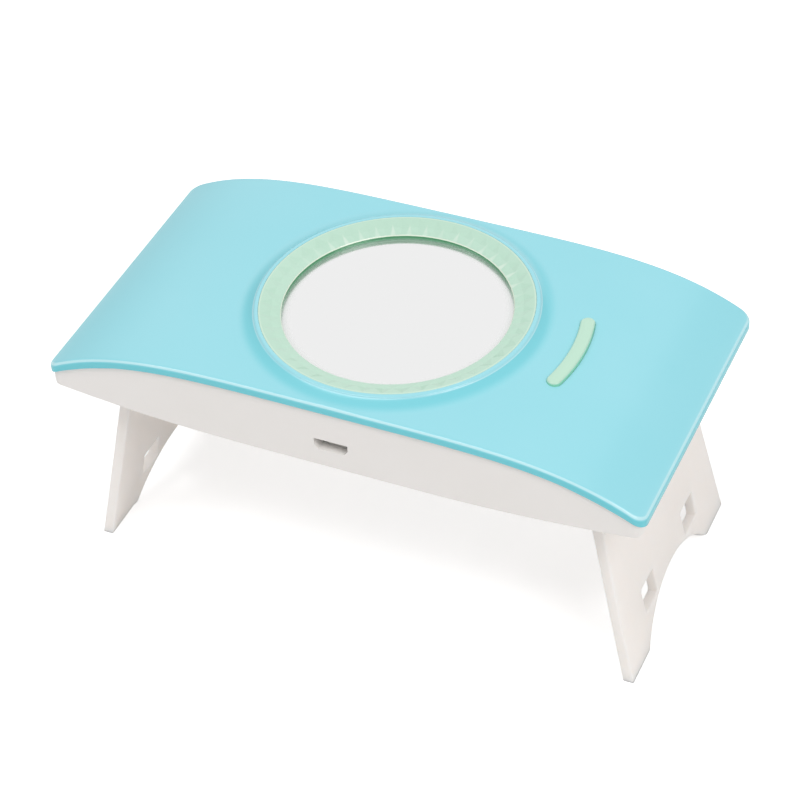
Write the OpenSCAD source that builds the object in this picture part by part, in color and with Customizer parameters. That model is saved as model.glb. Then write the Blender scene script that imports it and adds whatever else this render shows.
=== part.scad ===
// Portable nail lamp: an arched top cover with a round mirror, a shallow white case that holds
// the light engine, and two plates that fold out of the case's underside as legs.
// Z = 0 is the table, X runs along the lamp, and the charging port is in the front, at -Y.
// Pieces of the body are placed from the seam: the cover's lower edge at its two ends.

/* [Cover] */
// Length of the cover
cover_l = 134; // [128:1:146]
// Width of the cover
cover_w = 68; // [66:1:76]
// Wall thickness of the cover, which is also the height of its rim
cover_t = 2.3; // [1.9:0.1:2.8]
// Height of the crown's lower edge above the seam
arch_rise = 8.85; // [8.4:0.05:11]
// Half of the length of the flat crown, past which the cover curves down
crown_half = 30; // [26:1:34]
// Corner radius of the cover, seen from above
cover_corner_r = 2.6; // [2.2:0.1:4]
// Rounding of the cover's top edge
cover_edge_r = 1.1; // [0.6:0.1:1.6]

/* [Mirror and bezel] */
// Outer radius of the bezel
bezel_r = 29.2; // [28.6:0.1:30]
// Width of the bezel's faceted slope, seen from above
bezel_slope_w = 4.4; // [4:0.1:6]
// Height of the bezel's outer edge above the crown
bezel_rise = 1.5; // [0.8:0.1:2]
// Drop of the faceted slope towards the mirror
bezel_slope_drop = 1.5; // [1:0.1:1.8]
// Depth of the mirror's face below the bezel's outer edge
mirror_sink = 2.6; // [2.4:0.1:3.8]
// Number of diamond-cut facet pairs round the bezel
bezel_facets = 45; // [30:1:60]
// Radius of the mirror
mirror_r = 25.6; // [25:0.1:26.5]
// Thickness of the mirror
mirror_t = 2; // [1.5:0.1:2.4]
// Thickness of the adhesive disc under the mirror
tape_t = 0.3; // [0.2:0.05:0.5]
// Width of the cover's raised lip round the bezel
lip_w = 0.8; // [0.5:0.1:1.2]
// Width of the hollow flare outside the lip
flare_w = 4.2; // [3:0.1:5]

/* [Power button] */
// Radius of the arc that the button follows round the mirror
button_track_r = 40.1; // [39.5:0.1:41.5]
// Width of the button's bar
button_w = 3.1; // [2.2:0.1:3.4]
// Half of the angle between the centres of the button's round ends
button_half_a = 13.8; // [12:0.2:18]
// Height of the button above the cover
button_proud = 0.7; // [0.6:0.1:1.4]
// Travel of the button and of the switch under it
button_travel = 0.4; // [0.2:0.05:0.5]

/* [Case] */
// Step from the cover's edge in to the case's wall
case_inset = 0.5; // [0.4:0.1:1.2]
// Depth of the case below the seam, at the middle
case_depth = 5.8; // [5.6:0.1:6.8]
// Wall thickness of the case
case_wall = 1.8; // [1.5:0.1:2]
// Thickness of the floor between the legs' recess and the electronics
floor_t = 1.4; // [1.2:0.1:1.6]
// Half of the length over which the case's bottom edge is straight
keel_half = 18.4; // [14:0.2:24]
// Height that the case's bottom edge climbs towards each end
keel_rise = 3.2; // [2.4:0.1:3.4]

/* [Legs] */
// Length of a leg from the hinge axis to the table
leg_reach = 49.1; // [46:0.1:49.6]
// Angle by which an open leg leans outwards
leg_splay = 11.6; // [8:0.2:14]
// Width of a leg at its feet
leg_foot_w = 58; // [54:0.5:59]
// Angle by which each side of a leg leans in towards the hinge
leg_taper = 4.5; // [2:0.1:5.5]
// Thickness of a leg
leg_t = 2.5; // [2.2:0.1:2.6]
// Width of the arch between a leg's feet
leg_arch_w = 35.2; // [32:0.2:36]
// Height of that arch
leg_arch_h = 8.4; // [7.4:0.1:8.8]
// Size of the two square windows in each leg, along the lamp's width
window_w = 7.1; // [6:0.1:7.4]
// Size of the windows along the leg
window_h = 6.5; // [5.5:0.1:7.5]
// Distance from the middle of the leg to the centre of a window
window_y = 12.45; // [12:0.05:13]
// Height of the windows' lower edge above the foot, along the leg
window_lift = 7.7; // [7.6:0.1:9]

/* [Hinges] */
// Distance from the middle of the lamp to a hinge axis
hinge_x = 52.3; // [51:0.1:53]
// Depth of the hinge axis below the seam
hinge_drop = 2.1; // [1.9:0.1:2.3]
// Diameter of a hinge pin
pin_d = 2; // [1.6:0.1:2.2]
// Length of a hinge pin
pin_l = 14; // [12:0.5:15]
// Radial clearance of a pin in a leg's knuckle
pin_clear = 0.05; // [0.02:0.01:0.09]
// Outer radius of a leg's knuckle
knuckle_r = 2.1; // [1.9:0.05:2.2]
// Distance from the middle of the lamp to the near face of a case lug
lug_y = 9; // [8.5:0.1:10]
// Width of a case lug
lug_w = 5; // [4:0.1:5.5]

/* [Charging port] */
// Distance of the port's centre from the lamp's middle, along X
port_x = -0.6; // [-6:0.1:6]
// Width of the socket's mouth at its top
port_w = 7.4; // [7:0.1:8]
// Height of the socket
port_h = 2.5; // [2.2:0.1:2.8]
// Depth of the socket's body
port_l = 5.6; // [5:0.1:6]
// Height of the socket's lower face above the seam, which is negative below it
port_z = -1.25; // [-1.4:0.05:-0.9]

/* [Light engine] */
// Distance between the two rows of emitters
led_pitch_x = 11; // [10:0.5:13]
// Distance between the emitters in a row
led_pitch_y = 8.5; // [8:0.1:8.8]
// Emitters in a row
led_per_row = 3; // [2:1:3]
// Length of the emitter board, along X
led_board_l = 30; // [28:0.5:32]
// Width of the emitter board, along Y
led_board_w = 28; // [26:0.5:29]
// Thickness of the emitter board
led_board_t = 1; // [0.8:0.1:1.2]
// Radius of an emitter's dome
dome_r = 1.5; // [1.2:0.1:1.7]

/* [Control board] */
// Length of the control board, along X
board_l = 50; // [46:1:54]
// Width of the control board, along Y
board_w = 15; // [14:0.5:15.5]
// Thickness of the control board
board_t = 1; // [0.8:0.1:1.2]

/* [Screws] */
// Diameter of the case screws
screw_d = 2; // [1.8:0.1:2.2]
// Length of the case screws under the head
screw_l = 6; // [5:0.5:6.5]
// Distance of the case screws from the lamp's middle, along X
screw_x = 36; // [34:0.5:39]
// Distance of the case screws from the lamp's middle, along Y
screw_y = 24; // [23:0.5:25]

/* [Hidden] */
$fn = 64;

// Fragments for the circles of the arch and the keel, so that their short arcs stay smooth
arc_fn = 720;
big = 200;
eps = 0.01;
round_proud = 0.03;

// Clearances
seat_gap = 0.1;
loose_gap = 0.2;
free_gap = 0.3;

// The seam's height above the table follows from the legs
hinge_z = -hinge_drop;
seam_z = leg_reach * cos(leg_splay) + hinge_drop;

// The cover's arch: a flat crown that runs into one arc at each end
cover_half = cover_l / 2;
end_run = cover_half - crown_half;
end_r = round(100 * (end_run * end_run + arch_rise * arch_rise) / (2 * arch_rise)) / 100;
end_cz = arch_rise - end_r;
function arch_z(x, lift = 0) =
    end_cz + sqrt(pow(end_r + lift, 2) - pow(max(abs(x) - crown_half, 0), 2));

// Bezel and mirror
crown_top = arch_rise + cover_t;
bezel_top = crown_top + bezel_rise;
bezel_in_r = bezel_r - bezel_slope_w;
mirror_top = bezel_top - mirror_sink;
pocket_r = mirror_r + 0.35;
pocket_floor = mirror_top - mirror_t - tape_t;
pocket_wall = 1.6;
shelf_z = arch_rise + 0.9;
shelf_t = 1.6;
flare_z = arch_z(bezel_r + lip_w + flare_w, cover_t) - 0.1;

// Case outline
case_half = cover_half - case_inset;
case_w = cover_w - 2 * case_inset;
case_heel_r = 1.6;
keel_r = round(100 * (pow(case_half - keel_half, 2) / (2 * keel_rise) + keel_rise / 2)) / 100;
function keel_z(x) =
    keel_r - case_depth - sqrt(pow(keel_r, 2) - pow(max(abs(x) - keel_half, 0), 2));

// Folded legs lie a little below level, their feet just inside the case's bottom edge
fold_margin = 0.1;
fold_tilt = asin((case_depth - hinge_drop - leg_t / 2 - fold_margin) / leg_reach);
flat_half = led_board_l / 2 + loose_gap;
function ceiling_z(x) =
    hinge_z - (hinge_x - max(abs(x), flat_half)) * tan(fold_tilt) + leg_t / 2 + free_gap;
recess_top = ceiling_z(0);
floor_top = recess_top + floor_t;
barrel_r = knuckle_r + free_gap + 0.05;
recess_w = case_w - 2 * case_wall;
stop_gap = 0.15;

// Light engine
led_x = led_pitch_x / 2;
tray_flange_t = 0.6;
led_board_z = floor_top + tray_flange_t;
led_base_t = 0.8;
led_base_w = 3.5;
led_base_l = 2.8;
base_sink = led_base_t - tray_flange_t + 0.05;
window_in_l = led_board_l - 5;
window_in_w = led_board_w - 3;
window_corner_r = 2;

// Control board, with the socket hung under it
board_z = port_z + port_h;
board_front = -(recess_w / 2) + seat_gap;
board_back = board_front + board_w;
board_screw_inset = 3.5;
board_screw_x = board_l / 2 - board_screw_inset;
board_screw_y = board_front + board_w - board_screw_inset;
board_mid = (board_front + board_back) / 2;
socket_back = board_front + port_l + seat_gap;
socket_room = 0.1;
board_top = board_z + board_t;
shell_t = 0.3;
small_screw_d = 1.7;
small_head_d = 3.2;
small_head_t = 0.9;

// Parts on the control board
chip_l = 4.9;
chip_w = 3.9;
chip_h = 1.45;
chip_pins = 4;
controller_x = -12;
driver_x = 11.5;
small_part_l = 3.2;
small_part_w = 1.6;

// Leads
lead_d = 0.9;
lead_pitch = 1.6;
led_lead_x = 8;

// Button: a flange under the cover holds it in, and its stem stands on the switch
button_top = arch_z(button_track_r, cover_t) + button_proud;
pad_z = arch_z(button_track_r) - 0.75;
flange_t = 0.8;
flange_w = 5.6;
flange_half_a = button_half_a + 3.7;
flange_top = pad_z - loose_gap;
stem_l = 0.3;
stem_d = 3;
plunger_top = flange_top - flange_t - stem_l - 0.05;
plunger_d = 3.2;
plunger_out = 0.7;
switch_w = 6;
switch_h = 2;
switch_z = plunger_top - plunger_out - switch_h;
button_board_t = 0.8;
button_board_z = switch_z - button_board_t;
button_board_l = 13;
button_board_w = 20;
button_board_x = button_track_r + 2.2;
post_x = button_track_r + 5.4;
post_y = 7;
post_r = 1.9;

// Screws
head_d = 3.8;
head_t = 1.2;
head_z = ceiling_z(screw_x) + head_t;
tower_r = 3.1;
tower_top = head_z + 1.2;
boss_r = 2.6;
boss_low = tower_top + seat_gap;
screw_room = 0.3;

// Each hinge pin starts past the near face of its lug and ends in the leg's knuckle
pin_near = lug_y - 1;
pin_far = pin_near + pin_l;

module in_body() {
    translate([0, 0, seam_z]) children();
}

// Runs a profile drawn in X and Z along Y
module along_y(w) {
    rotate([90, 0, 0]) translate([0, 0, -w / 2]) linear_extrude(w) children();
}

module both_ends() {
    children();
    mirror([1, 0, 0]) children();
}

module both_sides() {
    children();
    mirror([0, 1, 0]) children();
}

// Rectangle with round corners, made of two bars and four circles
module round_rect(l, w, r) {
    square([l - 2 * r, w], center = true);
    square([l, w - 2 * r], center = true);
    for (sx = [-1, 1], sy = [-1, 1])
        translate([sx * (l / 2 - r), sy * (w / 2 - r)]) circle(r);
}

// Area between the keel and the arch raised by lift, in X and Z
module under_arch(lift, low) {
    translate([-crown_half, low]) square([2 * crown_half, arch_rise + lift - low]);
    both_ends() intersection() {
        translate([crown_half, low]) square([end_run + 10, big]);
        translate([crown_half, end_cz]) circle(end_r + lift, $fn = arc_fn);
    }
}

module above_keel() {
    translate([-keel_half, -case_depth]) square([2 * keel_half, big]);
    both_ends() intersection() {
        translate([keel_half, -case_depth]) square([case_half - keel_half + 1, big]);
        translate([keel_half, keel_r - case_depth]) circle(keel_r, $fn = arc_fn);
    }
}

// Section of the cover's wall: a bar with two rounded upper corners, radius along x
module wall_section(t, w, edge) {
    translate([end_r, -w / 2]) square([t - edge, w]);
    translate([end_r, -w / 2 + edge]) square([t, w - 2 * edge]);
    for (s = [-1, 1]) translate([end_r + t - edge, s * (w / 2 - edge)]) circle(edge, $fn = 32);
}

// The arched wall: the section run along the crown and turned about each end arc's centre
module arched_wall(t, w, edge) {
    translate([crown_half, 0, end_cz]) rotate([0, -90, 0]) linear_extrude(2 * crown_half)
        wall_section(t, w, edge);
    both_ends() translate([crown_half, 0, end_cz]) rotate([90, 0, 0])
        rotate_extrude(angle = 90, $fn = arc_fn) wall_section(t, w, edge);
}

// What is cut from the top corner of the cover's end face to round it. The rounding's circle
// stands a little proud of both faces, so that it crosses each of them at an angle.
module end_edge_cut() {
    r = cover_edge_r;
    reach = end_r + cover_t;
    cx = cover_half - r + round_proud;
    cz = end_cz + sqrt(pow(reach - r + round_proud, 2) - pow(cx - crown_half, 2));
    slope_a = atan2(cz - end_cz, cx - crown_half);
    corner_z = end_cz + sqrt(pow(reach, 2) - pow(cover_half - crown_half, 2));
    difference() {
        polygon([[cx, cz], [cover_half + 1, cz], [cover_half + 1, corner_z + 1],
                 [cx + (r + 1) * cos(slope_a), cz + (r + 1) * sin(slope_a)]]);
        translate([cx, cz]) circle(r);
    }
}

// Bar that follows the button's arc, with round ends
module arc_bar(half_a, w, h) {
    rotate([0, 0, -half_a]) rotate_extrude(angle = 2 * half_a, $fn = 180)
        translate([button_track_r - w / 2, 0]) square([w, h]);
    for (s = [-1, 1]) rotate([0, 0, s * half_a])
        translate([button_track_r, 0, 0]) cylinder(h = h, d = w);
}

// Raised lip round the bezel with its hollow flare, which ends where the cover's edge turns down
module bezel_seat() {
    lip_in = bezel_r - 1;
    lip_out = bezel_r + seat_gap + lip_w;
    lip_z = bezel_top;
    flare_r = (pow(flare_w, 2) + pow(lip_z - flare_z, 2)) / (2 * (lip_z - flare_z));
    flat_w = cover_w - 2 * cover_edge_r - 0.1;
    intersection() {
        cube([big, flat_w, big], center = true);
        rotate_extrude($fn = 180) difference() {
            translate([lip_in, flare_z - 1.2]) square([lip_out + flare_w - lip_in, lip_z - flare_z + 1.2]);
            translate([lip_out + flare_w, flare_z + flare_r]) circle(flare_r, $fn = 180);
            translate([lip_out + flare_w, flare_z]) square([1, 10]);
        }
    }
}

module cover_solid() {
    difference() {
        intersection() {
            arched_wall(cover_t, cover_w, cover_edge_r);
            linear_extrude(big, center = true) round_rect(cover_l, cover_w, cover_corner_r);
        }
        both_ends() along_y(cover_w + 2) end_edge_cut();
    }
    bezel_seat();
    // Cup that holds the mirror, and the step that carries the bezel
    translate([0, 0, pocket_floor - pocket_wall])
        cylinder(h = arch_rise + 0.5 - pocket_floor + pocket_wall, r = pocket_r + pocket_wall, $fn = 180);
    translate([0, 0, shelf_z - shelf_t]) cylinder(h = shelf_t, r = bezel_r + 1.3, $fn = 180);
    // Pad under the button's slot, which stops the flange
    translate([0, 0, pad_z])
        arc_bar(flange_half_a, flange_w + 1.6, arch_z(button_track_r) - pad_z + 0.8);
    // Posts for the button board, and bosses for the case screws
    both_sides() translate([post_x, post_y, switch_z])
        cylinder(h = arch_z(post_x) + 0.5 - switch_z, r = post_r);
    both_ends() both_sides() translate([screw_x, screw_y, boss_low])
        cylinder(h = arch_z(screw_x) + 0.5 - boss_low, r = boss_r);
}

module top_cover() color("#9FE0EA") in_body() difference() {
    cover_solid();
    translate([0, 0, shelf_z]) cylinder(h = 10, r = bezel_r + seat_gap, $fn = 180);
    translate([0, 0, pocket_floor]) cylinder(h = 10, r = pocket_r, $fn = 180);
    translate([0, 0, pad_z - 1]) arc_bar(button_half_a, button_w + 2 * free_gap, 10);
    both_sides() translate([post_x, post_y, switch_z - 1]) cylinder(h = 4.5, d = small_screw_d);
    both_ends() both_sides() translate([screw_x, screw_y, head_z])
        cylinder(h = screw_l + screw_room, d = screw_d);
}

// Diamond-cut slope: a ring of triangles between many-sided rims, each turned half a step
module facet_cutter() {
    n = bezel_facets;
    step = 360 / n;
    // Rims from the top down, each as radius, height and start in steps
    rims = [[bezel_r - 0.4, bezel_top + 2, 0.25], [bezel_r - 0.4, bezel_top - 0.1, 0.25],
            [bezel_r - bezel_slope_w * 0.55, bezel_top - bezel_slope_drop * 0.72, 0.75],
            [bezel_in_r + 0.35, bezel_top - bezel_slope_drop, 0.25]];
    points = [for (rim = rims, i = [0:n - 1])
        [rim[0] * cos((i + rim[2]) * step), rim[0] * sin((i + rim[2]) * step), rim[1]]];
    // One band of triangles below each rim
    bands = [for (k = [0:2], i = [0:n - 1]) let (j = (i + 1) % n, up = k * n, dn = (k + 1) * n)
        each (k == 2 ? [[up + i, up + j, dn + j], [up + i, dn + j, dn + i]]
                     : [[up + i, up + j, dn + i], [up + j, dn + j, dn + i]])];
    polyhedron(points = points, faces = concat(bands, [[for (i = [0:n - 1]) n - 1 - i]],
                                               [[for (i = [0:n - 1]) 3 * n + i]]));
}

module mirror_bezel() color("#C4E5D2") in_body() difference() {
    rotate_extrude($fn = 180) difference() {
        union() {
            translate([bezel_in_r, mirror_top + eps])
                square([pocket_r - seat_gap - bezel_in_r, bezel_top - mirror_top - eps]);
            translate([pocket_r - seat_gap, shelf_z])
                square([bezel_r - pocket_r + seat_gap, bezel_top - shelf_z]);
        }
        translate([bezel_r - 0.15, bezel_top - 0.15]) rotate(45) square(1);
    }
    facet_cutter();
}

module mirror_glass() color("#E8EAEA") in_body()
    translate([0, 0, mirror_top - mirror_t]) cylinder(h = mirror_t, r = mirror_r, $fn = 180);

module mirror_tape() color("#F2F2EE") in_body()
    translate([0, 0, pocket_floor]) cylinder(h = tape_t, r = mirror_r - 1.5, $fn = 180);

// Bar with a rounded crown, a wider flange that keeps it in, and a stem for the switch
module power_button() color("#B7E3CB") in_body() {
    crown_half_w = button_w / 2 + 0.2;
    crown = 1.3;
    low = flange_top - flange_t / 2;
    intersection() {
        translate([0, 0, low]) arc_bar(button_half_a, button_w, button_top - low);
        rotate_extrude($fn = 180) {
            translate([button_track_r - crown_half_w, low - 1])
                square([2 * crown_half_w, button_top - crown - low + 1]);
            translate([button_track_r - crown_half_w + crown, low - 1])
                square([2 * (crown_half_w - crown), button_top - low + 1]);
            for (s = [-1, 1]) translate([button_track_r + s * (crown_half_w - crown), button_top - crown])
                circle(crown);
        }
    }
    translate([0, 0, flange_top - flange_t]) arc_bar(flange_half_a - 1.2, flange_w, flange_t);
    translate([button_track_r, 0, flange_top - flange_t - stem_l])
        cylinder(h = stem_l + flange_t, d = stem_d);
}

module switch_plunger() color("#2B2B2D") in_body()
    translate([button_track_r, 0, switch_z + switch_h - 0.6])
        cylinder(h = plunger_out + 0.6, d = plunger_d);

// Low switch with four rivets, four solder tabs and a well for the plunger
module switch_body() color("#3A3B3D") in_body() translate([button_track_r, 0, switch_z]) {
    difference() {
        linear_extrude(switch_h) round_rect(switch_w, switch_w, 0.4);
        translate([0, 0, switch_h - 0.6 - button_travel - seat_gap])
            cylinder(h = 5, d = plunger_d + 2 * loose_gap);
    }
    both_ends() both_sides() translate([switch_w / 2 - 0.8, switch_w / 2 - 0.8, 0])
        cylinder(h = switch_h + 0.15, r = 0.4, $fn = 24);
    both_ends() both_sides() translate([switch_w / 2, 1.8, 0]) cube([0.9, 0.9, 0.25]);
}

module button_board() color("#2F6B45") in_body() difference() {
    translate([button_board_x, 0, button_board_z]) linear_extrude(button_board_t)
        round_rect(button_board_l, button_board_w, 1);
    both_sides() translate([post_x, post_y, 0]) cylinder(h = 20, d = small_screw_d + 0.3);
}

// Pan-head screw, pointing up, with its head's seat at z = 0
module screw(d, l, cap_d, cap_t) {
    slot = cap_d * 0.16;
    difference() {
        translate([0, 0, -cap_t]) cylinder(h = cap_t, d = cap_d, $fn = 32);
        for (a = [0, 90]) rotate(a) translate([-cap_d * 0.3, -slot / 2, -cap_t - 1])
            cube([cap_d * 0.6, slot, 1 + cap_t * 0.5]);
    }
    translate([0, 0, -eps]) cylinder(h = l - d * 0.4, d = d, $fn = 32);
    translate([0, 0, l - d * 0.4 - eps]) cylinder(h = d * 0.4, d1 = d, d2 = d * 0.4, $fn = 32);
}

module button_board_screws() color("#B9BCBF") in_body() both_sides()
    translate([post_x, post_y, button_board_z])
        screw(small_screw_d, button_board_t + 3, small_head_d, small_head_t);

// What is cut from the lower corner of the case's end to round it, in the same way
module end_heel_cut() {
    r = case_heel_r;
    cx = case_half - r + round_proud;
    cz = keel_r - case_depth - sqrt(pow(keel_r - r + round_proud, 2) - pow(cx - keel_half, 2));
    slope_a = atan2(cz - keel_r + case_depth, cx - keel_half);
    difference() {
        polygon([[cx, cz], [cx + (r + 1) * cos(slope_a), cz + (r + 1) * sin(slope_a)],
                 [case_half + 1, cz - r - 1], [case_half + 1, cz]]);
        translate([cx, cz]) circle(r);
    }
}

// The case as a solid block: under the arch, above the keel, with round corners all round
module case_block() {
    difference() {
        intersection() {
            along_y(case_w + 2) intersection() {
                under_arch(0, -case_depth);
                above_keel();
            }
            linear_extrude(big, center = true)
                round_rect(2 * case_half, case_w, cover_corner_r - case_inset);
        }
        both_ends() along_y(case_w + 2) end_heel_cut();
    }
}

// Space above the floor, right half: over the recess, over the barrels, and down into the end
module cavity_half() {
    ramp_end = hinge_x - barrel_r - floor_t;
    barrel_top = hinge_z + barrel_r + floor_t;
    past_barrel = hinge_x + barrel_r + floor_t * 0.6;
    wall_x = case_half - case_wall;
    step_x = past_barrel + 0.8;
    polygon([[-eps, floor_top], [flat_half, floor_top], [ramp_end - 1, ceiling_z(ramp_end - 1) + floor_t],
             [ramp_end, barrel_top], [past_barrel, barrel_top],
             [step_x, keel_z(step_x) + case_wall], [wall_x, keel_z(wall_x) + case_wall],
             [wall_x, big], [-eps, big]]);
}

// Space under the floor where a leg folds away, right half, up to the stop that the leg leans on
module recess_half() {
    n = [cos(leg_splay), sin(leg_splay)];
    face = [hinge_x, hinge_z] + (leg_t / 2 + stop_gap) * n;
    down = [sin(leg_splay), -cos(leg_splay)];
    root_x = hinge_x - 0.5;
    past = case_depth + 6;
    polygon([[-eps, recess_top], [flat_half, recess_top], [root_x, ceiling_z(root_x)],
             face, face + past * down, [-eps, -case_depth - past]]);
    translate([hinge_x, hinge_z]) circle(barrel_r);
}

module case_lug() {
    translate([hinge_x, lug_y + lug_w, hinge_z]) rotate([90, 0, 0]) difference() {
        linear_extrude(lug_w) {
            circle(knuckle_r);
            translate([-knuckle_r, 0]) square([2 * knuckle_r, barrel_r + 0.5]);
        }
        translate([0, 0, -1]) cylinder(h = lug_w + 2, d = pin_d);
    }
}

// Opening for the plug: wide at the top, with its lower corners cut off
module port_shape(w, h) {
    cut_h = h * 0.42;
    cut_w = cut_h * 0.8;
    polygon([[-w / 2, h], [w / 2, h], [w / 2, cut_h], [w / 2 - cut_w, 0],
             [-w / 2 + cut_w, 0], [-w / 2, cut_h]]);
}

// Snap post that clips one side of the emitter board: an upright with a hook over the board
module snap_post() {
    clip_w = 5;
    post_t = 1.2;
    hook = 0.7;
    hook_h = 0.8;
    low = floor_top - eps;
    top = led_board_z + led_board_t + seat_gap;
    translate([-clip_w / 2, led_board_w / 2 + loose_gap + post_t, 0]) rotate([90, 0, 90])
        linear_extrude(clip_w) polygon([[0, low], [0, top + hook_h], [-post_t, top + hook_h],
            [-post_t - loose_gap - hook, top], [-post_t, top], [-post_t, low]]);
}

module bottom_case() color("#F1F1EE") in_body() {
    board_boss_r = 1.9;
    board_bore_h = 4;
    root = 0.2;
    difference() {
        union() {
            difference() {
                case_block();
                along_y(recess_w) both_ends() cavity_half();
                along_y(recess_w) both_ends() recess_half();
            }
            both_ends() both_sides() {
                case_lug();
                translate([screw_x, screw_y, ceiling_z(screw_x) + root])
                    cylinder(h = tower_top - ceiling_z(screw_x) - root, r = tower_r);
            }
            both_ends() translate([board_screw_x, board_screw_y, floor_top - root])
                cylinder(h = board_z - floor_top + root, r = board_boss_r);
            both_sides() snap_post();
        }
        both_ends() both_sides() translate([screw_x, screw_y, -big / 2]) {
            cylinder(h = big / 2 + head_z, d = head_d + 2 * loose_gap);
            cylinder(h = big, d = screw_d + 0.4);
        }
        both_ends() translate([board_screw_x, board_screw_y, board_z + 1 - board_bore_h])
            cylinder(h = board_bore_h, d = small_screw_d);
        // Window for the reflector
        translate([0, 0, recess_top - 1]) linear_extrude(floor_t + 2)
            round_rect(window_in_l + 2 * loose_gap, window_in_w + 2 * loose_gap, window_corner_r);
        // Mouth of the charging port, and its socket's seat in the floor
        translate([port_x, socket_back + loose_gap, port_z - socket_room]) rotate([90, 0, 0])
            linear_extrude(port_l + case_wall + 2)
                port_shape(port_w + 2 * socket_room, port_h + 2 * socket_room);
    }
}

// Steel shell of the socket, closed at its back
module usb_socket() color("#C9CCCE") in_body()
    translate([port_x, socket_back, port_z]) rotate([90, 0, 0]) difference() {
        linear_extrude(port_l) port_shape(port_w, port_h);
        translate([0, shell_t, 2 * shell_t]) linear_extrude(port_l)
            port_shape(port_w - 2 * shell_t, port_h - 2 * shell_t);
    }

module usb_tongue() color("#2E2F31") in_body() {
    tongue_w = port_w / 2;
    tongue_t = 0.6;
    behind_mouth = 1.4;
    translate([port_x, socket_back - 2 * shell_t, port_z + port_h / 2]) rotate([90, 0, 0])
        linear_extrude(port_l - behind_mouth) square([tongue_w, tongue_t], center = true);
}

module control_board() color("#2F6B45") in_body() difference() {
    translate([0, board_mid, board_z]) linear_extrude(board_t) round_rect(board_l, board_w, 1);
    both_ends() translate([board_screw_x, board_screw_y, board_z - 1])
        cylinder(h = board_t + 2, d = small_screw_d + 0.3);
}

module control_board_screws() color("#B9BCBF") in_body() both_ends()
    translate([board_screw_x, board_screw_y, board_z + board_t]) mirror([0, 0, 1])
        screw(small_screw_d, board_t + 2.6, small_head_d, small_head_t);

// Chip with a row of flat pins along each long side
module chip(l, w, h, pins) {
    pitch = 1.27;
    pin_w = 0.4;
    pin_out = 0.9;
    pin_t = 0.25;
    stand_off = 0.1;
    translate([0, 0, stand_off]) linear_extrude(h) square([l, w], center = true);
    both_sides() for (i = [0:pins - 1])
        translate([(i - (pins - 1) / 2) * pitch - pin_w / 2, w / 2 - eps, 0])
            cube([pin_w, pin_out, pin_t]);
}

module controller_chip() color("#242527") in_body()
    translate([controller_x, board_mid, board_top]) chip(chip_l, chip_w, chip_h, chip_pins);

module led_driver() color("#242527") in_body()
    translate([driver_x, board_mid - 1, board_top]) chip(chip_l, chip_w, chip_h, chip_pins);

// Chip resistors in two rows between the two larger chips
module resistors() color("#35363A") in_body() {
    resistor_t = 0.5;
    column_pitch = 3.6;
    middle_x = -0.9;
    rows_y = [-1.2, 3];
    for (column = [-1:1], row_y = rows_y)
        translate([middle_x + column * column_pitch, board_mid + row_y, board_top])
            linear_extrude(resistor_t) square([small_part_w, small_part_l], center = true);
}

module capacitors() color("#B99B6B") in_body() {
    capacitor_t = 1.5;
    spots_x = [-6, 5];
    row_y = -4.6;
    for (x = spots_x) translate([x, board_mid + row_y, board_top])
        linear_extrude(capacitor_t) square([small_part_l, small_part_w], center = true);
}

// Insulated lead: straight runs with ball joints
module lead(points, d) {
    for (i = [0:len(points) - 2]) {
        a = points[i];
        v = points[i + 1] - a;
        translate(a) rotate([0, acos(v[2] / norm(v)), atan2(v[1], v[0])])
            cylinder(h = norm(v), d = d, $fn = 16);
    }
    for (i = [1:len(points) - 2]) translate(points[i]) sphere(d = d, $fn = 16);
}

// Two leads from the control board, under the mirror's cup and past the screw, to the button board
module switch_leads() color("#C23B33") in_body() for (k = [0, 1]) {
    behind_mid = 3.5;
    past_boss = 0.9;
    pad_inset = 4;
    end_inset = [2.6, 2.4];
    lift = 1.6;
    y = board_mid - behind_mid - k * lead_pitch;
    x = screw_x - boss_r - past_boss - (1 - k) * lead_pitch;
    y_end = end_inset[1] - button_board_w / 2 - k * lead_pitch;
    run_z = board_top + lift;
    pad_x = board_l / 2 - pad_inset;
    end_x = button_board_x - button_board_l / 2 + end_inset[0];
    lead([[pad_x, y, board_top], [pad_x, y, run_z], [x, y, run_z], [x, y_end, run_z],
          [end_x, y_end, run_z], [end_x, y_end, switch_z]], lead_d);
}

// Two short leads from the control board down to the emitter board
module led_leads() color("#2A2A2C") in_body() for (x = [-led_lead_x, led_lead_x]) {
    pad_inset = 1.5;
    reach = 3.5;
    y = board_back - pad_inset;
    y_end = board_back + reach;
    run_z = board_top + 1;
    lead([[x, y, board_top], [x, y, run_z], [x, y_end, run_z], [x, y_end, led_board_z + led_board_t]],
         lead_d);
}

module led_grid() {
    for (sx = [-1, 1], i = [0:led_per_row - 1])
        translate([sx * led_x, (i - (led_per_row - 1) / 2) * led_pitch_y, 0]) children();
}

module led_board() color("#E9EAEA") in_body()
    translate([0, 0, led_board_z]) linear_extrude(led_board_t) round_rect(led_board_l, led_board_w, 1);

module led_bases() color("#EDE7D2") in_body()
    translate([0, 0, led_board_z - led_base_t]) led_grid()
        linear_extrude(led_base_t) square([led_base_l, led_base_w], center = true);

module led_domes() color("#DDE3F0") in_body()
    translate([0, 0, led_board_z - led_base_t]) led_grid() difference() {
        sphere(r = dome_r);
        cylinder(h = dome_r + 1, r = dome_r + 1);
    }

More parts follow.
